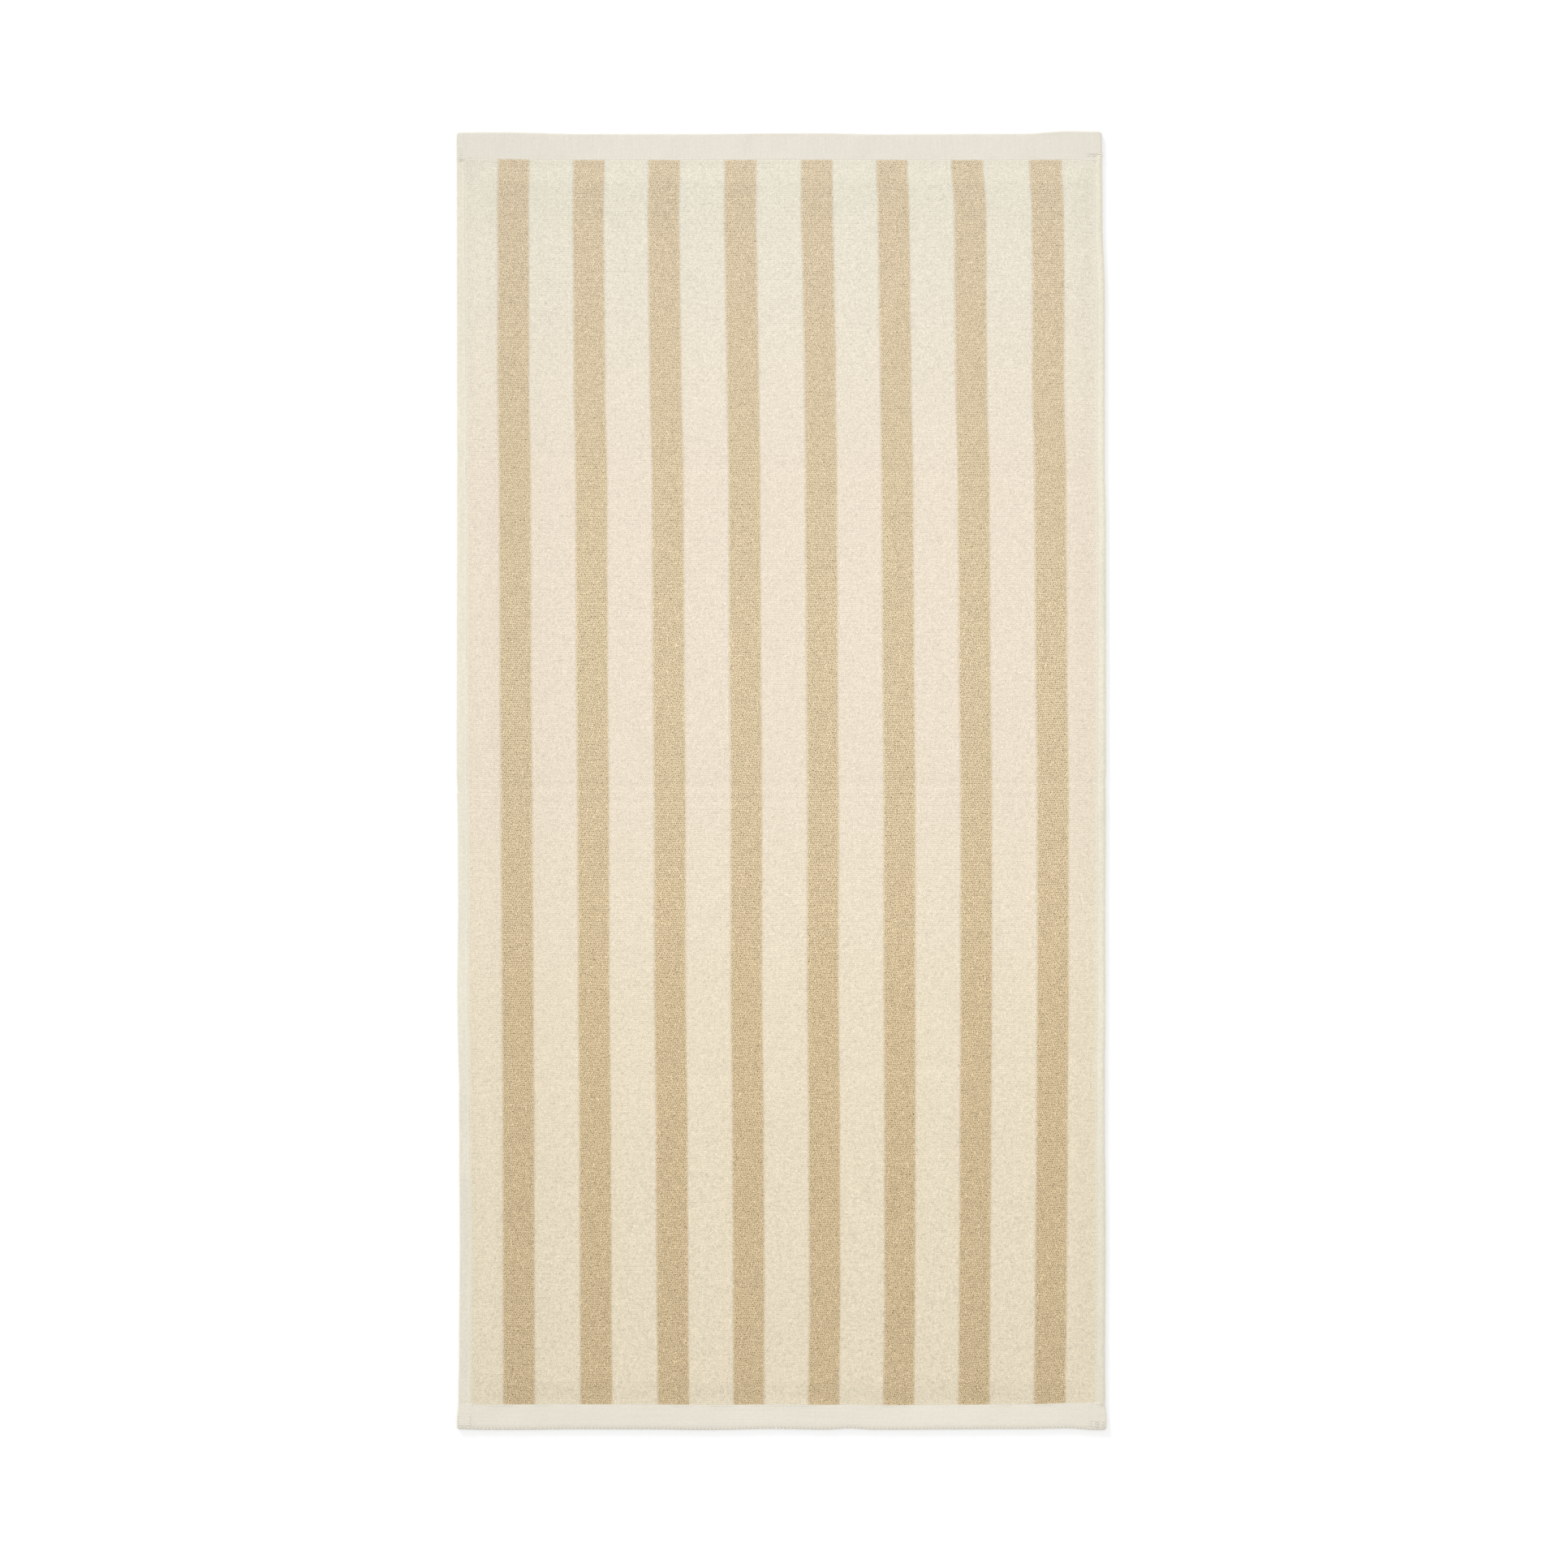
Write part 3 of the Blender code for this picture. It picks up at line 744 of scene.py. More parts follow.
def loop_outline(tree):
    """1 on each loop and 0 in the gaps: slanted dots in rows, which stand by turns right and left. The gaps
    take painted shade.
    """
    near = noise_vector(tree, WANDER_SCALE)
    wide = noise_vector(tree, DRIFT_SCALE)
    slant = number(tree, "slant")
    counts = []
    for place, (name, reach) in enumerate((("across", WANDER_ACROSS), ("down", WANDER_DOWN))):
        shift = calc(tree, "SUBTRACT", near[place], 0.5)
        count = calc(tree, "MULTIPLY_ADD", shift, reach, number(tree, name))
        drift = calc(tree, "MULTIPLY_ADD", wide[place], DRIFT, -0.5 * DRIFT)
        counts.append(calc(tree, "MULTIPLY_ADD", drift, slant, count))
    across, down = counts
    row = calc(tree, "FLOOR", calc(tree, "ADD", down, 0.5))
    turn = calc(tree, "MULTIPLY_ADD", calc(tree, "MODULO", row, 2.0), -2.0 * STAGGER, STAGGER)
    beside = from_whole(tree, calc(tree, "ADD", across, turn))
    lean = calc(tree, "MULTIPLY", calc(tree, "SUBTRACT", noise(tree, SLANT_SCALE), 0.5), slant)
    below = calc(tree, "MULTIPLY_ADD", lean, beside, calc(tree, "SUBTRACT", down, row))
    sides = [calc(tree, "POWER", calc(tree, "ABSOLUTE", calc(tree, "DIVIDE", away, half)), 2.0)
             for away, half in ((beside, GAP_ACROSS), (below, GAP_DOWN))]
    dot = fall(tree, calc(tree, "SQRT", calc(tree, "ADD", *sides)), GAP_CORE, 1.0)
    line = fall(tree, calc(tree, "ABSOLUTE", below), 0.0, ROW_LINE_REACH)
    column = fall(tree, calc(tree, "ABSOLUTE", beside), 0.0, COLUMN_LINE_REACH)
    lines = calc(tree, "MAXIMUM", product(tree, line, ROW_SHADE), product(tree, column, COLUMN_SHADE))
    return calc(tree, "SUBTRACT", 1.0, calc(tree, "MAXIMUM", dot, lines))


def terry_material(name, colours, neighbour, tone_amount, grains):
    """Cotton loops: light tops, painted shade in the gaps, each a little unlike the next, mixed with
    the neighbouring colour at a border, under a painted light's tint and lightness down the towel."""
    material, tree, shader = new_material(name)
    outline = loop_outline(tree)
    # Painted shade: the gaps between loops take the darker gap colour
    depth = product(tree, calc(tree, "SUBTRACT", 1.0, outline), number(tree, "gap"))
    colour = blended(tree, depth, colours.loop, colours.gap)
    beside = tuple((high + low) / 2 for high, low in zip(neighbour.loop, neighbour.gap))
    colour = blended(tree, number(tree, "border"), colour, beside)
    # Painted light: the light's tint, from cool at the top to warm at the bottom
    tint = through(tree, number(tree, "warmth"), (colours.cool, colours.even, colours.warm))
    colour = node(tree, "ShaderNodeVectorMath", {0: colour, 1: tint}, operation="MULTIPLY").outputs["Vector"]
    tone = calc(tree, "MULTIPLY_ADD", number(tree, "tone"), tone_amount, 1.0)
    # Painted light: lighter and darker down and across the towel
    factor = product(tree, tone, *[uneven(tree, grain) for grain in grains], number(tree, "light"))
    dress(tree, shader, TERRY_FINISH, colour, factor, fluffy(tree, outline, FLUFF))
    return material


def looped_back_material(name, colours):
    """The back's loops, drawn on their own count across and down the towel, with painted shade between them.
    """
    material, tree, shader = new_material(name)
    shift = product(tree, calc(tree, "SUBTRACT", noise(tree, BACK_SHIFT_SCALE), 0.5), BACK_WANDER)
    ridges = []
    for way in ("across", "down"):
        angle = product(tree, calc(tree, "ADD", number(tree, way), shift), pi)
        ridges.append(calc(tree, "ABSOLUTE", calc(tree, "SINE", angle)))
    loops = calc(tree, "POWER", product(tree, *ridges), BACK_ROUND)
    # Painted shade between the back's loops
    colour = blended(tree, loops, colours.gap, colours.loop)
    dress(tree, shader, BACK_FINISH, colour, uneven(tree, BACK_GRAIN), fluffy(tree, loops, BACK_FLUFF))
    return material


def woven_material(name, base, streak_ways, specks):
    """Flat plain weave, with faint streaks and specks, painted shade on its sunken threads, and painted
    light and shade from the piece's light numbers.
    """
    material, tree, shader = new_material(name)
    place = node(tree, "ShaderNodeTexCoord").outputs["Object"]
    split = node(tree, "ShaderNodeSeparateXYZ", {"Vector": place})
    warp, weft = (calc(tree, "SINE", product(tree, split.outputs[axis], pi / WEAVE_PITCH)) for axis in "XY")
    weave = calc(tree, "MULTIPLY_ADD", product(tree, warp, weft), 0.5, 0.5)
    streaks = uneven(tree, WOVEN_STREAKS, streak_ways)
    # Painted shade on the sunken threads
    threads = centred(tree, weave, WEAVE_SHADE)
    factor = product(tree, streaks, uneven(tree, WOVEN_PATCHES), threads, uneven(tree, specks),
                     number(tree, "light"))
    dress(tree, shader, WOVEN_FINISH, base, factor, fluffy(tree, weave, WOVEN_FIBRES))
    rougher = calc(tree, "MULTIPLY_ADD", weave, WEAVE_ROUGHER, WOVEN_FINISH.roughness)
    tree.links.new(rougher, shader.inputs["Roughness"])
    return material


def plain_material(name, base, grain, finish):
    """A colour that is a little uneven, without bumps."""
    material, tree, shader = new_material(name)
    dress(tree, shader, finish, base, uneven(tree, grain))
    return material


# The pile on the front

LEFT_FOOT, RIGHT_FOOT = "left foot", "right foot"
Strip = namedtuple("Strip", "name slot left right first loops")


def line_x(line, y):
    """X at this Y of a line between two strips, or of the pile's foot at a side."""
    if line == LEFT_FOOT:
        return pile_side(y, -1)
    if line == RIGHT_FOOT:
        return pile_side(y, 1)
    return stripe_line(line, y)


def pile_strips():
    """The strips of one colour from left to right: where each lies, and its first loop and count."""
    half = STRIPE_WIDTH / STRIPE_PITCH / 2
    strips = []
    line, first = LEFT_FOOT, 0
    for stripe in range(1, STRIPE_COUNT + 1):
        loops = LOOPS_LEFT if stripe == 1 else LOOPS_BETWEEN
        strips.append(Strip(f"cream_{stripe}", "cream_terry", line, stripe - half, first, loops))
        first += loops
        strips.append(Strip(f"beige_{stripe}", "beige_terry", stripe - half, stripe + half, first,
                            LOOPS_IN_STRIPE))
        first += LOOPS_IN_STRIPE
        line = stripe + half
    last = f"cream_{STRIPE_COUNT + 1}"
    strips.append(Strip(last, "cream_terry", line, RIGHT_FOOT, first, LOOPS_RIGHT))
    return strips


def strip_places(strip, across, down):
    """X and Y of places in a strip, both as shares of it."""
    y = np.zeros(np.broadcast(across, down).shape)
    for _ in range(SOLVING_PASSES):
        low = line_x(strip.left, y)
        x = low + (line_x(strip.right, y) - low) * across
        top = pile_end(x, 1)
        y = top + (pile_end(x, -1) - top) * down
    return x, y


def scatter(rows, columns, stray):
    """Random places, heights and tones for a grid of loops or gaps, more so where the pile is restless."""
    place = np.linspace(0.0, LENGTH / MM, rows)
    shape = (rows, columns)
    even = {
        column: np.broadcast_to(read_table(PILE_ROWS, "from_top", place, column)[:, None], shape)
        for column in ("unrest", "gap", "slant", "warmth", "pale", "beige")
    }
    unrest = even["unrest"]
    return even | {
        "x": unrest * stray * rng.standard_normal(shape),
        "y": unrest * stray * rng.standard_normal(shape),
        "rise": unrest * LOOP_UNEVEN * rng.standard_normal(shape),
        "tone": np.clip(rng.standard_normal(shape), -WIDEST_TONE, WIDEST_TONE),
        # Painted shade: how dark each gap shows, a little unlike from gap to gap
        "gap": np.clip(even["gap"] * (1.0 + GAP_SHADE_UNLIKE * rng.standard_normal(shape)), 0.0, DARKEST_GAP_SHADE),
    }


def pile_points(strip, field, counts, depth):
    """Points of a strip's loops or of its gaps, which lie lower by the depth. The rim keeps in line."""
    down, across = counts
    x, y = strip_places(strip, across / strip.loops, down / LOOPS_DOWN)
    height = pile_height(x, y) - depth + folds(x, y, field_share(x, y, RIM_REACH))
    calm = field_share(x, y, CALM_RIM)
    x += field["x"] * calm
    y += field["y"] * calm
    return np.stack([x, y, height + field["rise"] * calm], axis=-1).reshape(-1, 3)


def make_strip(strip, loop_field, gap_field, material, chunks):
    """One colour's loops: a point on each loop's top and one in each gap between four loops."""
    loops = {key: values[:, strip.first:strip.first + strip.loops] for key, values in loop_field.items()}
    gaps = {key: values[:, strip.first:strip.first + strip.loops + 1] for key, values in gap_field.items()}
    gap_counts = np.meshgrid(np.arange(LOOPS_DOWN + 1.0), np.arange(strip.loops + 1.0), indexing="ij")
    top_counts = np.meshgrid(np.arange(LOOPS_DOWN) + 0.5, np.arange(strip.loops) + 0.5, indexing="ij")
    inside = (gap_counts[1] > 0) & (gap_counts[1] < strip.loops)
    gap_counts[1] -= STAGGER * np.where(gap_counts[0] % 2 == 0, 1.0, -1.0) * inside
    depth = np.full(gap_counts[0].shape, GAP_DEPTH)
    rim = np.zeros(depth.shape, bool)
    rim[0] = rim[-1] = True
    rim[:, 0] |= strip.left == LEFT_FOOT
    rim[:, -1] |= strip.right == RIGHT_FOOT
    depth[rim] = FOOT_DROP
    # Less painted shade in the gaps at the rim
    gaps["gap"] = np.where(rim, RIM_GAP_SHADE, 1.0) * gaps["gap"]
    gap_points = pile_points(strip, gaps, gap_counts, depth)
    points = np.concatenate([gap_points, pile_points(strip, loops, top_counts, 0.0)])
    gap_index = np.arange(len(gap_points)).reshape(depth.shape)
    top_index = np.arange(len(gap_points), len(points)).reshape(top_counts[0].shape)
    corners = grid_quads(gap_index)
    following = np.roll(corners, -1, axis=-1)
    middle = np.broadcast_to(top_index[..., None], corners.shape)
    faces = np.stack([corners, following, middle], axis=-1).reshape(-1, 3)
    down, across = (np.concatenate([g.ravel(), t.ravel()]) for g, t in zip(gap_counts, top_counts))
    uvs = cut_in_chunks(down[faces], across[faces] * LOOP_WIDTH, LOOPS_DOWN, LOOP_LENGTH,
                        strip.loops * LOOP_WIDTH, chunks, 0, chunks)
    # Painted shade in the gaps, and the painted light's tint and lightness down and across the towel
    sources = {key: key for key in ("tone", "gap", "slant", "warmth")}
    sources["light"] = "pale" if strip.slot == "cream_terry" else "beige"
    numbers = {}
    for key, source in sources.items():
        numbers[key] = np.concatenate([gaps[source].ravel(), loops[source].ravel()])
    numbers["light"] *= read_table(PILE_LIGHT_COLUMNS, "from_left", from_left(points[:, 0]), "light")
    numbers["down"] = down
    numbers["across"] = strip.first + across
    to_left = across if strip.left != LEFT_FOOT else BORDER_BLEND
    to_right = strip.loops - across if strip.right != RIGHT_FOOT else BORDER_BLEND
    near = np.clip(1.0 - np.minimum(to_left, to_right) / BORDER_BLEND, 0.0, 1.0)
    numbers["border"] = BORDER_SHARE * near * near
    return make_piece(strip.name, points, faces, material, uvs, numbers)


# The back

def make_back(name, strips, material):
    """The loops of the back, in one colour: a low uneven sheet whose single loops are in its finish."""
    points, faces, uvs, across_counts, down_counts = [], [], [], [], []
    rows = round(LOOPS_DOWN * LOOP_LENGTH / BACK_STEP)
    widest = max(strip.loops for strip in strips) * LOOP_WIDTH
    start = 0
    for place, strip in enumerate(strips):
        columns = BACK_PER_GAP if strip.loops == LOOPS_BETWEEN else BACK_PER_STRIPE
        down = np.arange(rows + 1)[:, None] / rows
        across = np.arange(columns + 1)[None, :] / columns
        x, y = strip_places(strip, across, down)
        share = field_share(x, y, SHOULDER)
        rise = np.abs(rng.standard_normal(x.shape)) * BACK_UNEVEN
        rise[:, 0] = rise[:, -1] = BACK_UNEVEN
        z = rise * share + (1.0 - share) * TUCK_HEIGHT
        index = start + np.arange(x.size).reshape(x.shape)
        start += x.size
        steps = np.broadcast_to(np.arange(rows + 1)[:, None], x.shape).astype(float)
        spread = np.broadcast_to(across * strip.loops * LOOP_WIDTH, x.shape)
        along = grid_quads(steps)[..., ::-1].reshape(-1, 4)
        sideways = grid_quads(spread)[..., ::-1].reshape(-1, 4)
        uvs.append(cut_in_chunks(along, sideways, rows, BACK_STEP, widest, BACK_CHUNKS,
                                 place * BACK_CHUNKS, len(strips) * BACK_CHUNKS))
        points.append(np.stack([x, y, z], axis=-1).reshape(-1, 3))
        faces.append(grid_quads(index)[..., ::-1].reshape(-1, 4))
        across_counts.append(np.broadcast_to(strip.first + across * strip.loops, x.shape).ravel())
        down_counts.append(np.broadcast_to(down * LOOPS_DOWN, x.shape).ravel())
    numbers = {"across": np.concatenate(across_counts), "down": np.concatenate(down_counts)}
    return make_piece(name, np.concatenate(points), np.concatenate(faces), material,
                      np.concatenate(uvs), numbers)


# The ground cloth

def make_ground(material):
    """The woven ground that carries the loops of both faces, and ends inside the hems."""
    columns = round(WIDTH / GROUND_STEP)
    rows = round(LENGTH / GROUND_STEP)
    across = np.linspace(0.0, 1.0, columns + 1)[None, :]
    down = np.linspace(0.0, 1.0, rows + 1)[:, None]
    y = np.broadcast_to((0.5 - down) * LENGTH, (rows + 1, columns + 1))
    for _ in range(SOLVING_PASSES):
        left = side_edge(y, -1) + GROUND_INSET
        x = left + (side_edge(y, 1) - GROUND_INSET - left) * across
        top = end_edge(x, 1) - GROUND_INSET
        y = top + (end_edge(x, -1) + GROUND_INSET - top) * down
    share = field_share(x, y, GROUND_STEP / 2)
    low = GROUND_LOW - GROUND_DROP * (1.0 - share) + folds(x, y, share) / 2
    thick = np.full_like(x, GROUND_THICKNESS)
    thick[0] = thick[-1] = 0.0
    thick[:, 0] = thick[:, -1] = 0.0
    return make_pillow("towel_cloth", x, y, low + thick, low, material, GROUND_STEP, WIDTH, 1)


# Hems

def upper_fold(distance, rounding):
    """Height of the upper face near a folded edge, as a share of the thickness."""
    short = 1.0 - np.clip(distance / rounding, 0.0, 1.0)
    return FOLD_WIDEST + (1.0 - FOLD_WIDEST) * np.sqrt(1.0 - short * short)


def lower_fold(distance):
    """The same for the lower face."""
    short = 1.0 - np.clip(distance / FOLD_RADIUS, 0.0, 1.0)
    return FOLD_WIDEST * (1.0 - np.sqrt(1.0 - short * short))


def round_corner(from_side, from_end):
    """Moves points near a corner, so that square rings of points turn into arcs."""
    short_side = np.maximum(CORNER_RADIUS - from_side, 0.0)
    short_end = np.maximum(CORNER_RADIUS - from_end, 0.0)
    longest = np.hypot(short_side, short_end)
    inside = (short_side > 0.0) & (short_end > 0.0)
    shrink = np.where(inside, np.maximum(short_side, short_end) / np.maximum(longest, 1e-9), 1.0)
    new_side = np.where(inside, CORNER_RADIUS - short_side * shrink, from_side)
    new_end = np.where(inside, CORNER_RADIUS - short_end * shrink, from_end)
    return new_side, new_end


def seam_share(distance):
    """1 on a seam's line, falling to nothing beside it."""
    return 1.0 - ease(np.abs(distance) / SEAM_HALF_WIDTH)


def rising(height, from_pile):
    """A hem's height, which rises to the pile's foot."""
    return height + (SEAM_HEIGHT - height) * ease(1.0 - from_pile / SEAM_RISE_REACH)


def hem_height(x, y, from_side, from_end, side_width, end_depth):
    """Upper face of the hems, from the distances to the nearest long edge and nearest end."""
    beside = 1.0 - ease((from_side - side_width) / SHOULDER)
    behind = 1.0 - ease((from_end - end_depth) / SHOULDER)
    height = CORNER_HEIGHT * beside * behind
    side_height = np.where(x < 0.0, SIDE_HEM_HEIGHT[-1], SIDE_HEM_HEIGHT[1])
    height += rising(side_height, side_width - from_side) * beside * (1.0 - behind)
    height += rising(END_HEM_HEIGHT, end_depth - from_end) * behind * (1.0 - beside)
    height += folds(x, y, 0.0)
    side_seam = seam_share(from_side - (side_width - SEAM_INSET)) * (1.0 - behind)
    end_seam = seam_share(from_end - (end_depth - SEAM_INSET))
    return height - SEAM_DIP * np.maximum(side_seam, end_seam)


def folded_insets():
    """Distances from a folded edge that follow its rounding."""
    return [share * FOLD_RADIUS for share in FOLD_INSETS] + [CORNER_RADIUS]


def hem_insets(middle_steps):
    """Distances across a hem, from the fold to under the pile: a share of its width, and metres more."""
    fold = [(0.0, inset) for inset in folded_insets()]
    seam_start = -SEAM_INSET - SEAM_HALF_WIDTH
    parts = [step / middle_steps for step in range(1, middle_steps)]
    middle = [(part, CORNER_RADIUS + (seam_start - CORNER_RADIUS) * part) for part in parts]
    seam = [(1.0, seam_start), (1.0, -SEAM_INSET), (1.0, -SEAM_INSET + SEAM_HALF_WIDTH)]
    profile = fold + middle + seam + [(1.0, HEM_COVER), (1.0, HEM_TUCK)]
    return np.array(profile).T[:, None, :]


def pucker_along(count, step):
    """A line of small waves along a hem."""
    reach = PUCKER_REACH / step
    return smooth_noise((PUCKER_LINES, count), reach)[0] * PUCKER


def hem_faces(height, roundness, nearest, waves, inset, width):
    """Upper and lower face of a hem, from its fold to where it goes in under the pile."""
    past = ease((inset - width - HEM_COVER) / (HEM_TUCK - HEM_COVER))
    calm = ease(nearest / CORNER_RADIUS) * ease((width - inset) / PUCKER_FADE)
    top = height * roundness + waves[:, None] * calm
    low = height * lower_fold(nearest)
    low = low + (TUCK_HEIGHT - low) * past
    low += BACK_DIP * seam_share(inset - (width - SEAM_INSET))
    return top + (TUCK_HEIGHT - top) * past, low


def make_end_hem(name, end, rounding, material):
    """The flat-woven end, folded under: a thin closed band across the whole towel."""
    insets = folded_insets()
    steps = round((WIDTH - 2 * CORNER_RADIUS) / HEM_STEP)
    between = np.linspace(CORNER_RADIUS, WIDTH - CORNER_RADIUS, steps + 1)
    places = np.concatenate([insets[:-1], between, WIDTH - np.array(insets[:-1])[::-1]])
    share, extra = hem_insets(END_HEM_LINES)
    x = np.broadcast_to((places - WIDTH / 2)[:, None], (len(places), share.size))
    for _ in range(SOLVING_PASSES):
        depth = end_hem(x, end)
        inset = share * depth + extra
        y = end_edge(x, end) - end * inset
        left, right = side_edge(y, -1), side_edge(y, 1)
        near_left = places[:, None] < WIDTH / 2
        near = np.minimum(places, WIDTH - places)[:, None]
        inner_left, inner_right = left + CORNER_RADIUS, right - CORNER_RADIUS
        part = (places[:, None] - CORNER_RADIUS) / (WIDTH - 2 * CORNER_RADIUS)
        x = np.where(near < CORNER_RADIUS, np.where(near_left, left + near, right - near),
                     inner_left + (inner_right - inner_left) * part)
    side = np.where(near_left, -1.0, 1.0)
    from_side = np.where(near_left, x - left, right - x)
    side_width = np.where(near_left, side_hem(y, -1), side_hem(y, 1))
    height = hem_height(x, y, from_side, inset, side_width, depth)
    new_side, new_end = round_corner(from_side, inset)
    roundness = np.minimum(upper_fold(from_side, FOLD_RADIUS), upper_fold(inset, rounding))
    waves = pucker_along(len(places), HEM_STEP)
    top, low = hem_faces(height, roundness, np.minimum(from_side, inset), waves, inset, depth)
    x = x - side * (new_side - from_side)
    y = y - end * (new_end - inset)
    # Painted light across the end hem, and painted shade at its folded edge and at the left side's fold
    light = read_table(END_HEM_LIGHT_COLUMNS, "from_left", from_left(x), "bottom" if end < 0 else "top")
    light = light * (1.0 - END_SHADE[end] * ease(1.0 - inset / END_SHADE_REACH[end]))
    light = light * (1.0 - SIDE_SHADE[-1] * ease(1.0 - (x - left) / SIDE_SHADE_REACH))
    return make_pillow(name, x, y, top, low, material, HEM_STEP, END_HEM_MAP_WIDTH,
                       END_HEM_CHUNKS, light)


def make_side_hem(name, side, rounding, material):
    """A long edge, folded under: a thin closed band between the two end hems."""
    top_y = LENGTH / 2 - MEAN_END_HEM + SIDE_TUCK
    steps = round(2 * top_y / SIDE_STEP)
    share, extra = hem_insets(SIDE_HEM_LINES)
    y = np.broadcast_to(np.linspace(top_y, -top_y, steps + 1)[:, None], (steps + 1, share.size))
    width = side_hem(y, side)
    inset = share * width + extra
    x = side_edge(y, side) - side * inset
    height = rising(SIDE_HEM_HEIGHT[side], width - inset) + folds(x, y, 0.0)
    height -= SEAM_DIP * seam_share(inset - (width - SEAM_INSET))
    waves = pucker_along(steps + 1, SIDE_STEP)
    top, low = hem_faces(height, upper_fold(inset, rounding), inset, waves, inset, width)
    top[0] = low[0] = top[-1] = low[-1] = TUCK_HEIGHT
    # Painted light down the side hem, painted shade at its folded edge, and a painted highlight along the
    # sewing
    light = read_table(SIDE_HEM_LIGHT_ROWS, "from_top", from_top(y), "left" if side < 0 else "right")
    light = light * (1.0 - SIDE_SHADE[side] * ease(1.0 - inset / SIDE_SHADE_REACH))
    from_ridge = np.abs(inset - (width - RIDGE_INSET))
    light = light * (1.0 + RIDGE_LIGHT[side] * ease(1.0 - from_ridge / RIDGE_REACH))
    return make_pillow(name, x, y, top, low, material, SIDE_STEP, SIDE_HEM_MAP_WIDTH,
                       SIDE_HEM_CHUNKS, light)


# Sewing

def make_stitches(name, middles, ways, ups, lengths, half_width, rise, material):
    """Short pieces of thread, each a flat four-sided tube with pointed ends, in one mesh."""
    ways = ways / np.linalg.norm(ways, axis=1, keepdims=True)
    sides = np.cross(ups, ways)
    sides /= np.linalg.norm(sides, axis=1, keepdims=True)
    ups = np.cross(ways, sides)
    rings = []
    for along in (-THREAD_BODY, THREAD_BODY):
        for side, up in ((1, 0), (0, 1), (-1, 0), (0, -1)):
            offset = ways * along * lengths[:, None] + sides * side * half_width + ups * up * rise
            rings.append(middles + offset)
    ends = [middles - ways * 0.5 * lengths[:, None], middles + ways * 0.5 * lengths[:, None]]
    points = np.stack(rings + ends, axis=1)
    first, last = 8, 9
    template = []
    for n in range(4):
        after = (n + 1) % 4
        template += [(n, after, 4 + after), (n, 4 + after, 4 + n)]
        template += [(first, after, n), (last, 4 + n, 4 + after)]
    template = np.array(template)
    faces = (np.arange(len(middles))[:, None, None] * points.shape[1] + template[None]).reshape(-1, 3)
    # Each thread has its own cell of the map, so many spots wide and high
    cell_size = np.array([5.0, 4.0])
    cells = int(np.ceil(sqrt(len(middles))))
    spots = np.array([(n, 1.0) for n in range(4)] + [(n, 2.0) for n in range(4)] + [(1.5, 0.0), (1.5, 3.0)])
    local = spots[template]
    wraps = (template % 4 == 0) & (template < 8) & ((template % 4).max(axis=1, keepdims=True) == 3)
    local[..., 0] += 4.0 * wraps
    local = (local + 0.5) / cell_size
    cell = np.arange(len(middles))
    corner = np.stack([cell % cells, cell // cells], axis=-1)[:, None, None, :]
    uvs = ((corner + local[None]) / cells).reshape(-1, 3, 2)
    return make_piece(name, points.reshape(-1, 3), faces, material, uvs)


def side_place(x, y):
    """How far places are from the nearer long edge, and the width of the side hem there."""
    from_side = np.minimum(x - side_edge(y, -1), side_edge(y, 1) - x)
    return from_side, np.where(x < 0, side_hem(y, -1), side_hem(y, 1))


def seam_run(x, y, height):
    """A seam's stitches on the front and on the back: their middles, ways and ups."""
    way = np.stack([np.gradient(x), np.gradient(y), np.zeros_like(x)], axis=-1)
    runs = []
    for z, up in ((height, 1.0), (np.full_like(x, BACK_DIP), -1.0)):
        runs.append((np.stack([x, y, z], axis=-1), way, np.broadcast_to([0.0, 0.0, up], way.shape)))
    return runs


def seam_lines():
    """Places and directions of the stitches of the four seams."""
    runs = []
    for end in (-1, 1):
        x = np.linspace(SEAM_FROM_LEFT - WIDTH / 2, WIDTH / 2 - SEAM_FROM_RIGHT, END_SEAM_STITCHES)
        y = pile_end(x, end) + end * SEAM_INSET
        from_side, side_width = side_place(x, y)
        depth = end_hem(x, end)
        runs += seam_run(x, y, hem_height(x, y, from_side, depth - SEAM_INSET, side_width, depth))
    for side in (-1, 1):
        reach = LENGTH / 2 - SEAM_FROM_END
        y = np.linspace(reach, -reach, round(2 * reach / STITCH_PITCH))
        x = pile_side(y, side) + side * SEAM_INSET
        runs += seam_run(x, y, rising(SIDE_HEM_HEIGHT[side], SEAM_INSET) - SEAM_DIP + folds(x, y, 0.0))
    return [np.concatenate(parts) for parts in zip(*runs)]


def make_seams(material):
    middles, ways, ups = seam_lines()
    lengths = STITCH_LENGTH * (1.0 + STITCH_UNLIKE * rng.standard_normal(len(middles)))
    turns = STITCH_TURN * rng.standard_normal(ways.shape) * [1, 1, 0]
    ways = ways + np.linalg.norm(ways, axis=1, keepdims=True) * turns
    return make_stitches("seam_thread", middles, ways, ups, lengths, THREAD_HALF_WIDTH, THREAD_RISE,
                         material)


def make_fold_stitches(material):
    """Small knobs of thread over the bottom fold."""
    count = round((WIDTH - 2 * KNOB_MARGIN) / KNOB_PITCH)
    x = np.linspace(-WIDTH / 2 + KNOB_MARGIN, WIDTH / 2 - KNOB_MARGIN, count)
    x = x + THREAD_STRAY * rng.standard_normal(count)
    y = end_edge(x, -1) + KNOB_INSET
    z = END_HEM_HEIGHT * upper_fold(KNOB_INSET, BOTTOM_ROUNDING) + folds(x, y, 0.0)
    ways = np.tile(KNOB_WAY, (count, 1))
    ways[:, 0] += KNOB_TURN * rng.standard_normal(count)
    ups = np.broadcast_to(KNOB_UP, ways.shape)
    lengths = KNOB_LENGTH * (1.0 + KNOB_UNLIKE * rng.standard_normal(count))
    middles = np.stack([x, y, z], axis=-1)
    return make_stitches("fold_thread", middles, ways, ups, lengths, KNOB_HALF_WIDTH, KNOB_RISE,
                         material)


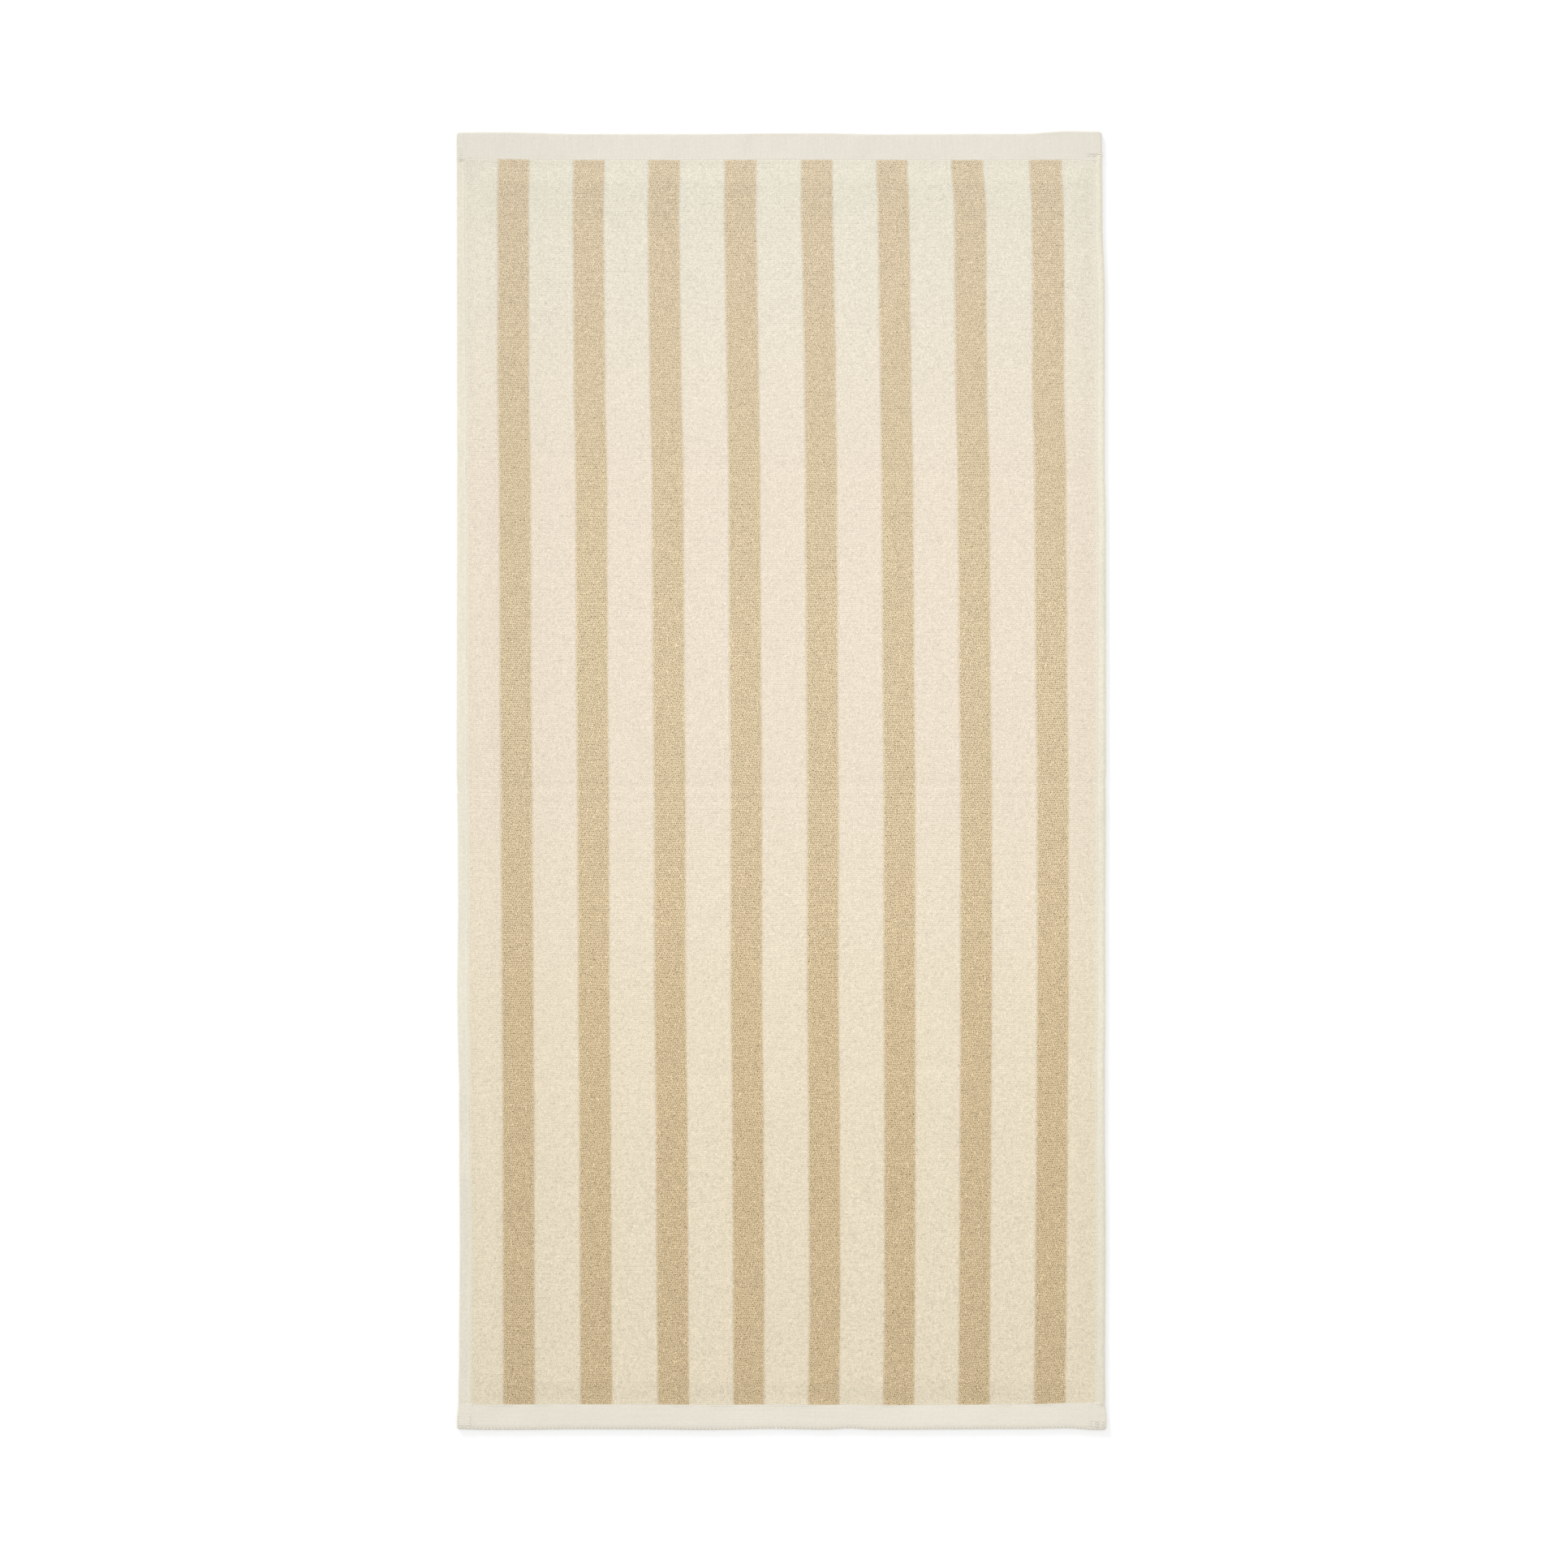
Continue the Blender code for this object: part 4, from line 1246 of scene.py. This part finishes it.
def make_bars(material):
    """Short rows of close stitches that hold the corners."""
    middles = []
    for bar in BARS:
        rounding = BOTTOM_ROUNDING if bar.end < 0 else TOP_ROUNDING
        in_row = max(2, round((bar.last_left - bar.first_left) / (BAR_THREAD_LENGTH / MM)))
        for down in np.linspace(bar.first_in, bar.last_in, bar.rows):
            x = np.linspace(bar.first_left, bar.last_left, in_row) * MM - WIDTH / 2
            x = x + THREAD_STRAY * rng.standard_normal(in_row)
            inward = down * MM + BAR_ROW_STRAY * rng.standard_normal(in_row)
            y = end_edge(x, bar.end) - bar.end * inward
            from_side, side_width = side_place(x, y)
            inset = np.abs(end_edge(x, bar.end) - y)
            z = hem_height(x, y, from_side, inset, side_width, end_hem(x, bar.end))
            z = z * np.minimum(upper_fold(from_side, FOLD_RADIUS), upper_fold(inset, rounding))
            middles.append(np.stack([x, y, z + BAR_THREAD_LIFT], axis=-1))
    middles = np.concatenate(middles)
    count = len(middles)
    ways = np.tile((1.0, 0.0, 0.0), (count, 1))
    ways[:, 1] = BAR_THREAD_TURN * rng.standard_normal(count)
    ups = np.broadcast_to([0.0, 0.0, 1.0], ways.shape)
    lengths = BAR_THREAD_LENGTH * (BAR_THREAD_OVERLAP + BAR_THREAD_UNLIKE * rng.standard_normal(count))
    return make_stitches("corner_thread", middles, ways, ups, lengths, BAR_THREAD_HALF_WIDTH,
                         BAR_THREAD_RISE, material)


# Stage, lights and camera

def make_floor():
    material, _, shader = new_material("floor")
    shader.inputs["Base Color"].default_value = (FLOOR_WHITE, FLOOR_WHITE, FLOOR_WHITE, 1.0)
    shader.inputs["Roughness"].default_value = FLOOR_ROUGHNESS
    shader.inputs["Specular IOR Level"].default_value = 0.0
    shader.inputs["Emission Color"].default_value = (1.0, 1.0, 1.0, 1.0)
    shader.inputs["Emission Strength"].default_value = FLOOR_GLOW
    bpy.ops.mesh.primitive_plane_add(size=FLOOR_SIZE, location=(0.0, 0.0, -FLOOR_DROP))
    floor = bpy.context.object
    floor.name = "floor"
    floor.data.materials.append(material)


def add_area(name, location, aim, size, energy):
    data = bpy.data.lights.new(name, "AREA")
    data.shape = "SQUARE"
    data.size = size
    data.energy = energy
    light = bpy.data.objects.new(name, data)
    light.location = location
    light.rotation_euler = (Vector(aim) - Vector(location)).to_track_quat("-Z", "Y").to_euler()
    bpy.context.scene.collection.objects.link(light)


def make_lights():
    world = bpy.data.worlds.new("soft_light")
    world.use_nodes = True
    background = world.node_tree.nodes["Background"]
    background.inputs["Color"].default_value = (1.0, 1.0, 1.0, 1.0)
    background.inputs["Strength"].default_value = SKY_STRENGTH
    bpy.context.scene.world = world
    add_area("key", LAMP_PLACE, (0.0, 0.0, 0.0), LAMP_SIZE, LAMP_POWER)


def make_camera():
    data = bpy.data.cameras.new("camera")
    data.lens = FOCAL_LENGTH
    data.sensor_width = SENSOR_WIDTH
    camera = bpy.data.objects.new("camera", data)
    away = FRAME_WIDTH * FOCAL_LENGTH / SENSOR_WIDTH
    camera.location = (*FRAME_MIDDLE, away + FRAME_HEIGHT)
    bpy.context.scene.collection.objects.link(camera)
    bpy.context.scene.camera = camera


def main():
    make_camera()
    make_lights()
    make_floor()
    pale = terry_material("pale_loops", CREAM, BEIGE, CREAM_TONE, CREAM_GRAINS)
    beige = terry_material("beige_loops", BEIGE, CREAM, BEIGE_TONE, BEIGE_GRAINS)
    woven_top = woven_material("top_weave", TOP_HEM_COLOUR, TOP_STREAKS, END_HEM_SPECKS)
    woven_bottom = woven_material("bottom_weave", BOTTOM_HEM_COLOUR, BOTTOM_STREAKS, END_HEM_SPECKS)
    woven_left = woven_material("left_weave", LEFT_HEM_COLOUR, SIDE_STREAKS, SIDE_HEM_SPECKS)
    woven_right = woven_material("right_weave", RIGHT_HEM_COLOUR, SIDE_STREAKS, SIDE_HEM_SPECKS)
    ground = plain_material("ground_weave", TOP_HEM_COLOUR, GROUND_GRAIN, GROUND_FINISH)
    thread = plain_material("sewing_thread", THREAD_COLOUR, THREAD_GRAIN, THREAD_FINISH)
    knob_thread = plain_material("fold_sewing_thread", KNOB_COLOUR, THREAD_GRAIN, THREAD_FINISH)
    loop_field = scatter(LOOPS_DOWN, LOOPS_ACROSS, LOOP_STRAY)
    gap_field = scatter(LOOPS_DOWN + 1, LOOPS_ACROSS + 1, GAP_STRAY)
    strips = pile_strips()
    gap_field["x"][:, [strip.first for strip in strips]] *= BORDER_STRAY
    cream_strips = [strip for strip in strips if strip.slot == "cream_terry"]
    beige_strips = [strip for strip in strips if strip.slot == "beige_terry"]
    for strip in strips:
        material, chunks = (pale, PALE_CHUNKS) if strip in cream_strips else (beige, BEIGE_CHUNKS)
        make_strip(strip, loop_field, gap_field, material, chunks)
    back_pale = looped_back_material("pale_back_loops", CREAM)
    back_beige = looped_back_material("beige_back_loops", BEIGE)
    backs = [
        make_back("back_cream", cream_strips, back_pale),
        make_back("back_beige", beige_strips, back_beige),
    ]
    hems = [
        make_end_hem("hem_top", 1, TOP_ROUNDING, woven_top),
        make_end_hem("hem_bottom", -1, BOTTOM_ROUNDING, woven_bottom),
        make_side_hem("side_left", -1, LEFT_ROUNDING, woven_left),
        make_side_hem("side_right", 1, RIGHT_ROUNDING, woven_right),
    ]
    sewing = [make_seams(thread), make_fold_stitches(knob_thread), make_bars(thread)]
    cloth = make_ground(ground)
    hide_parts("towel")
    bpy.context.scene.view_settings.view_transform = "Standard"


main()
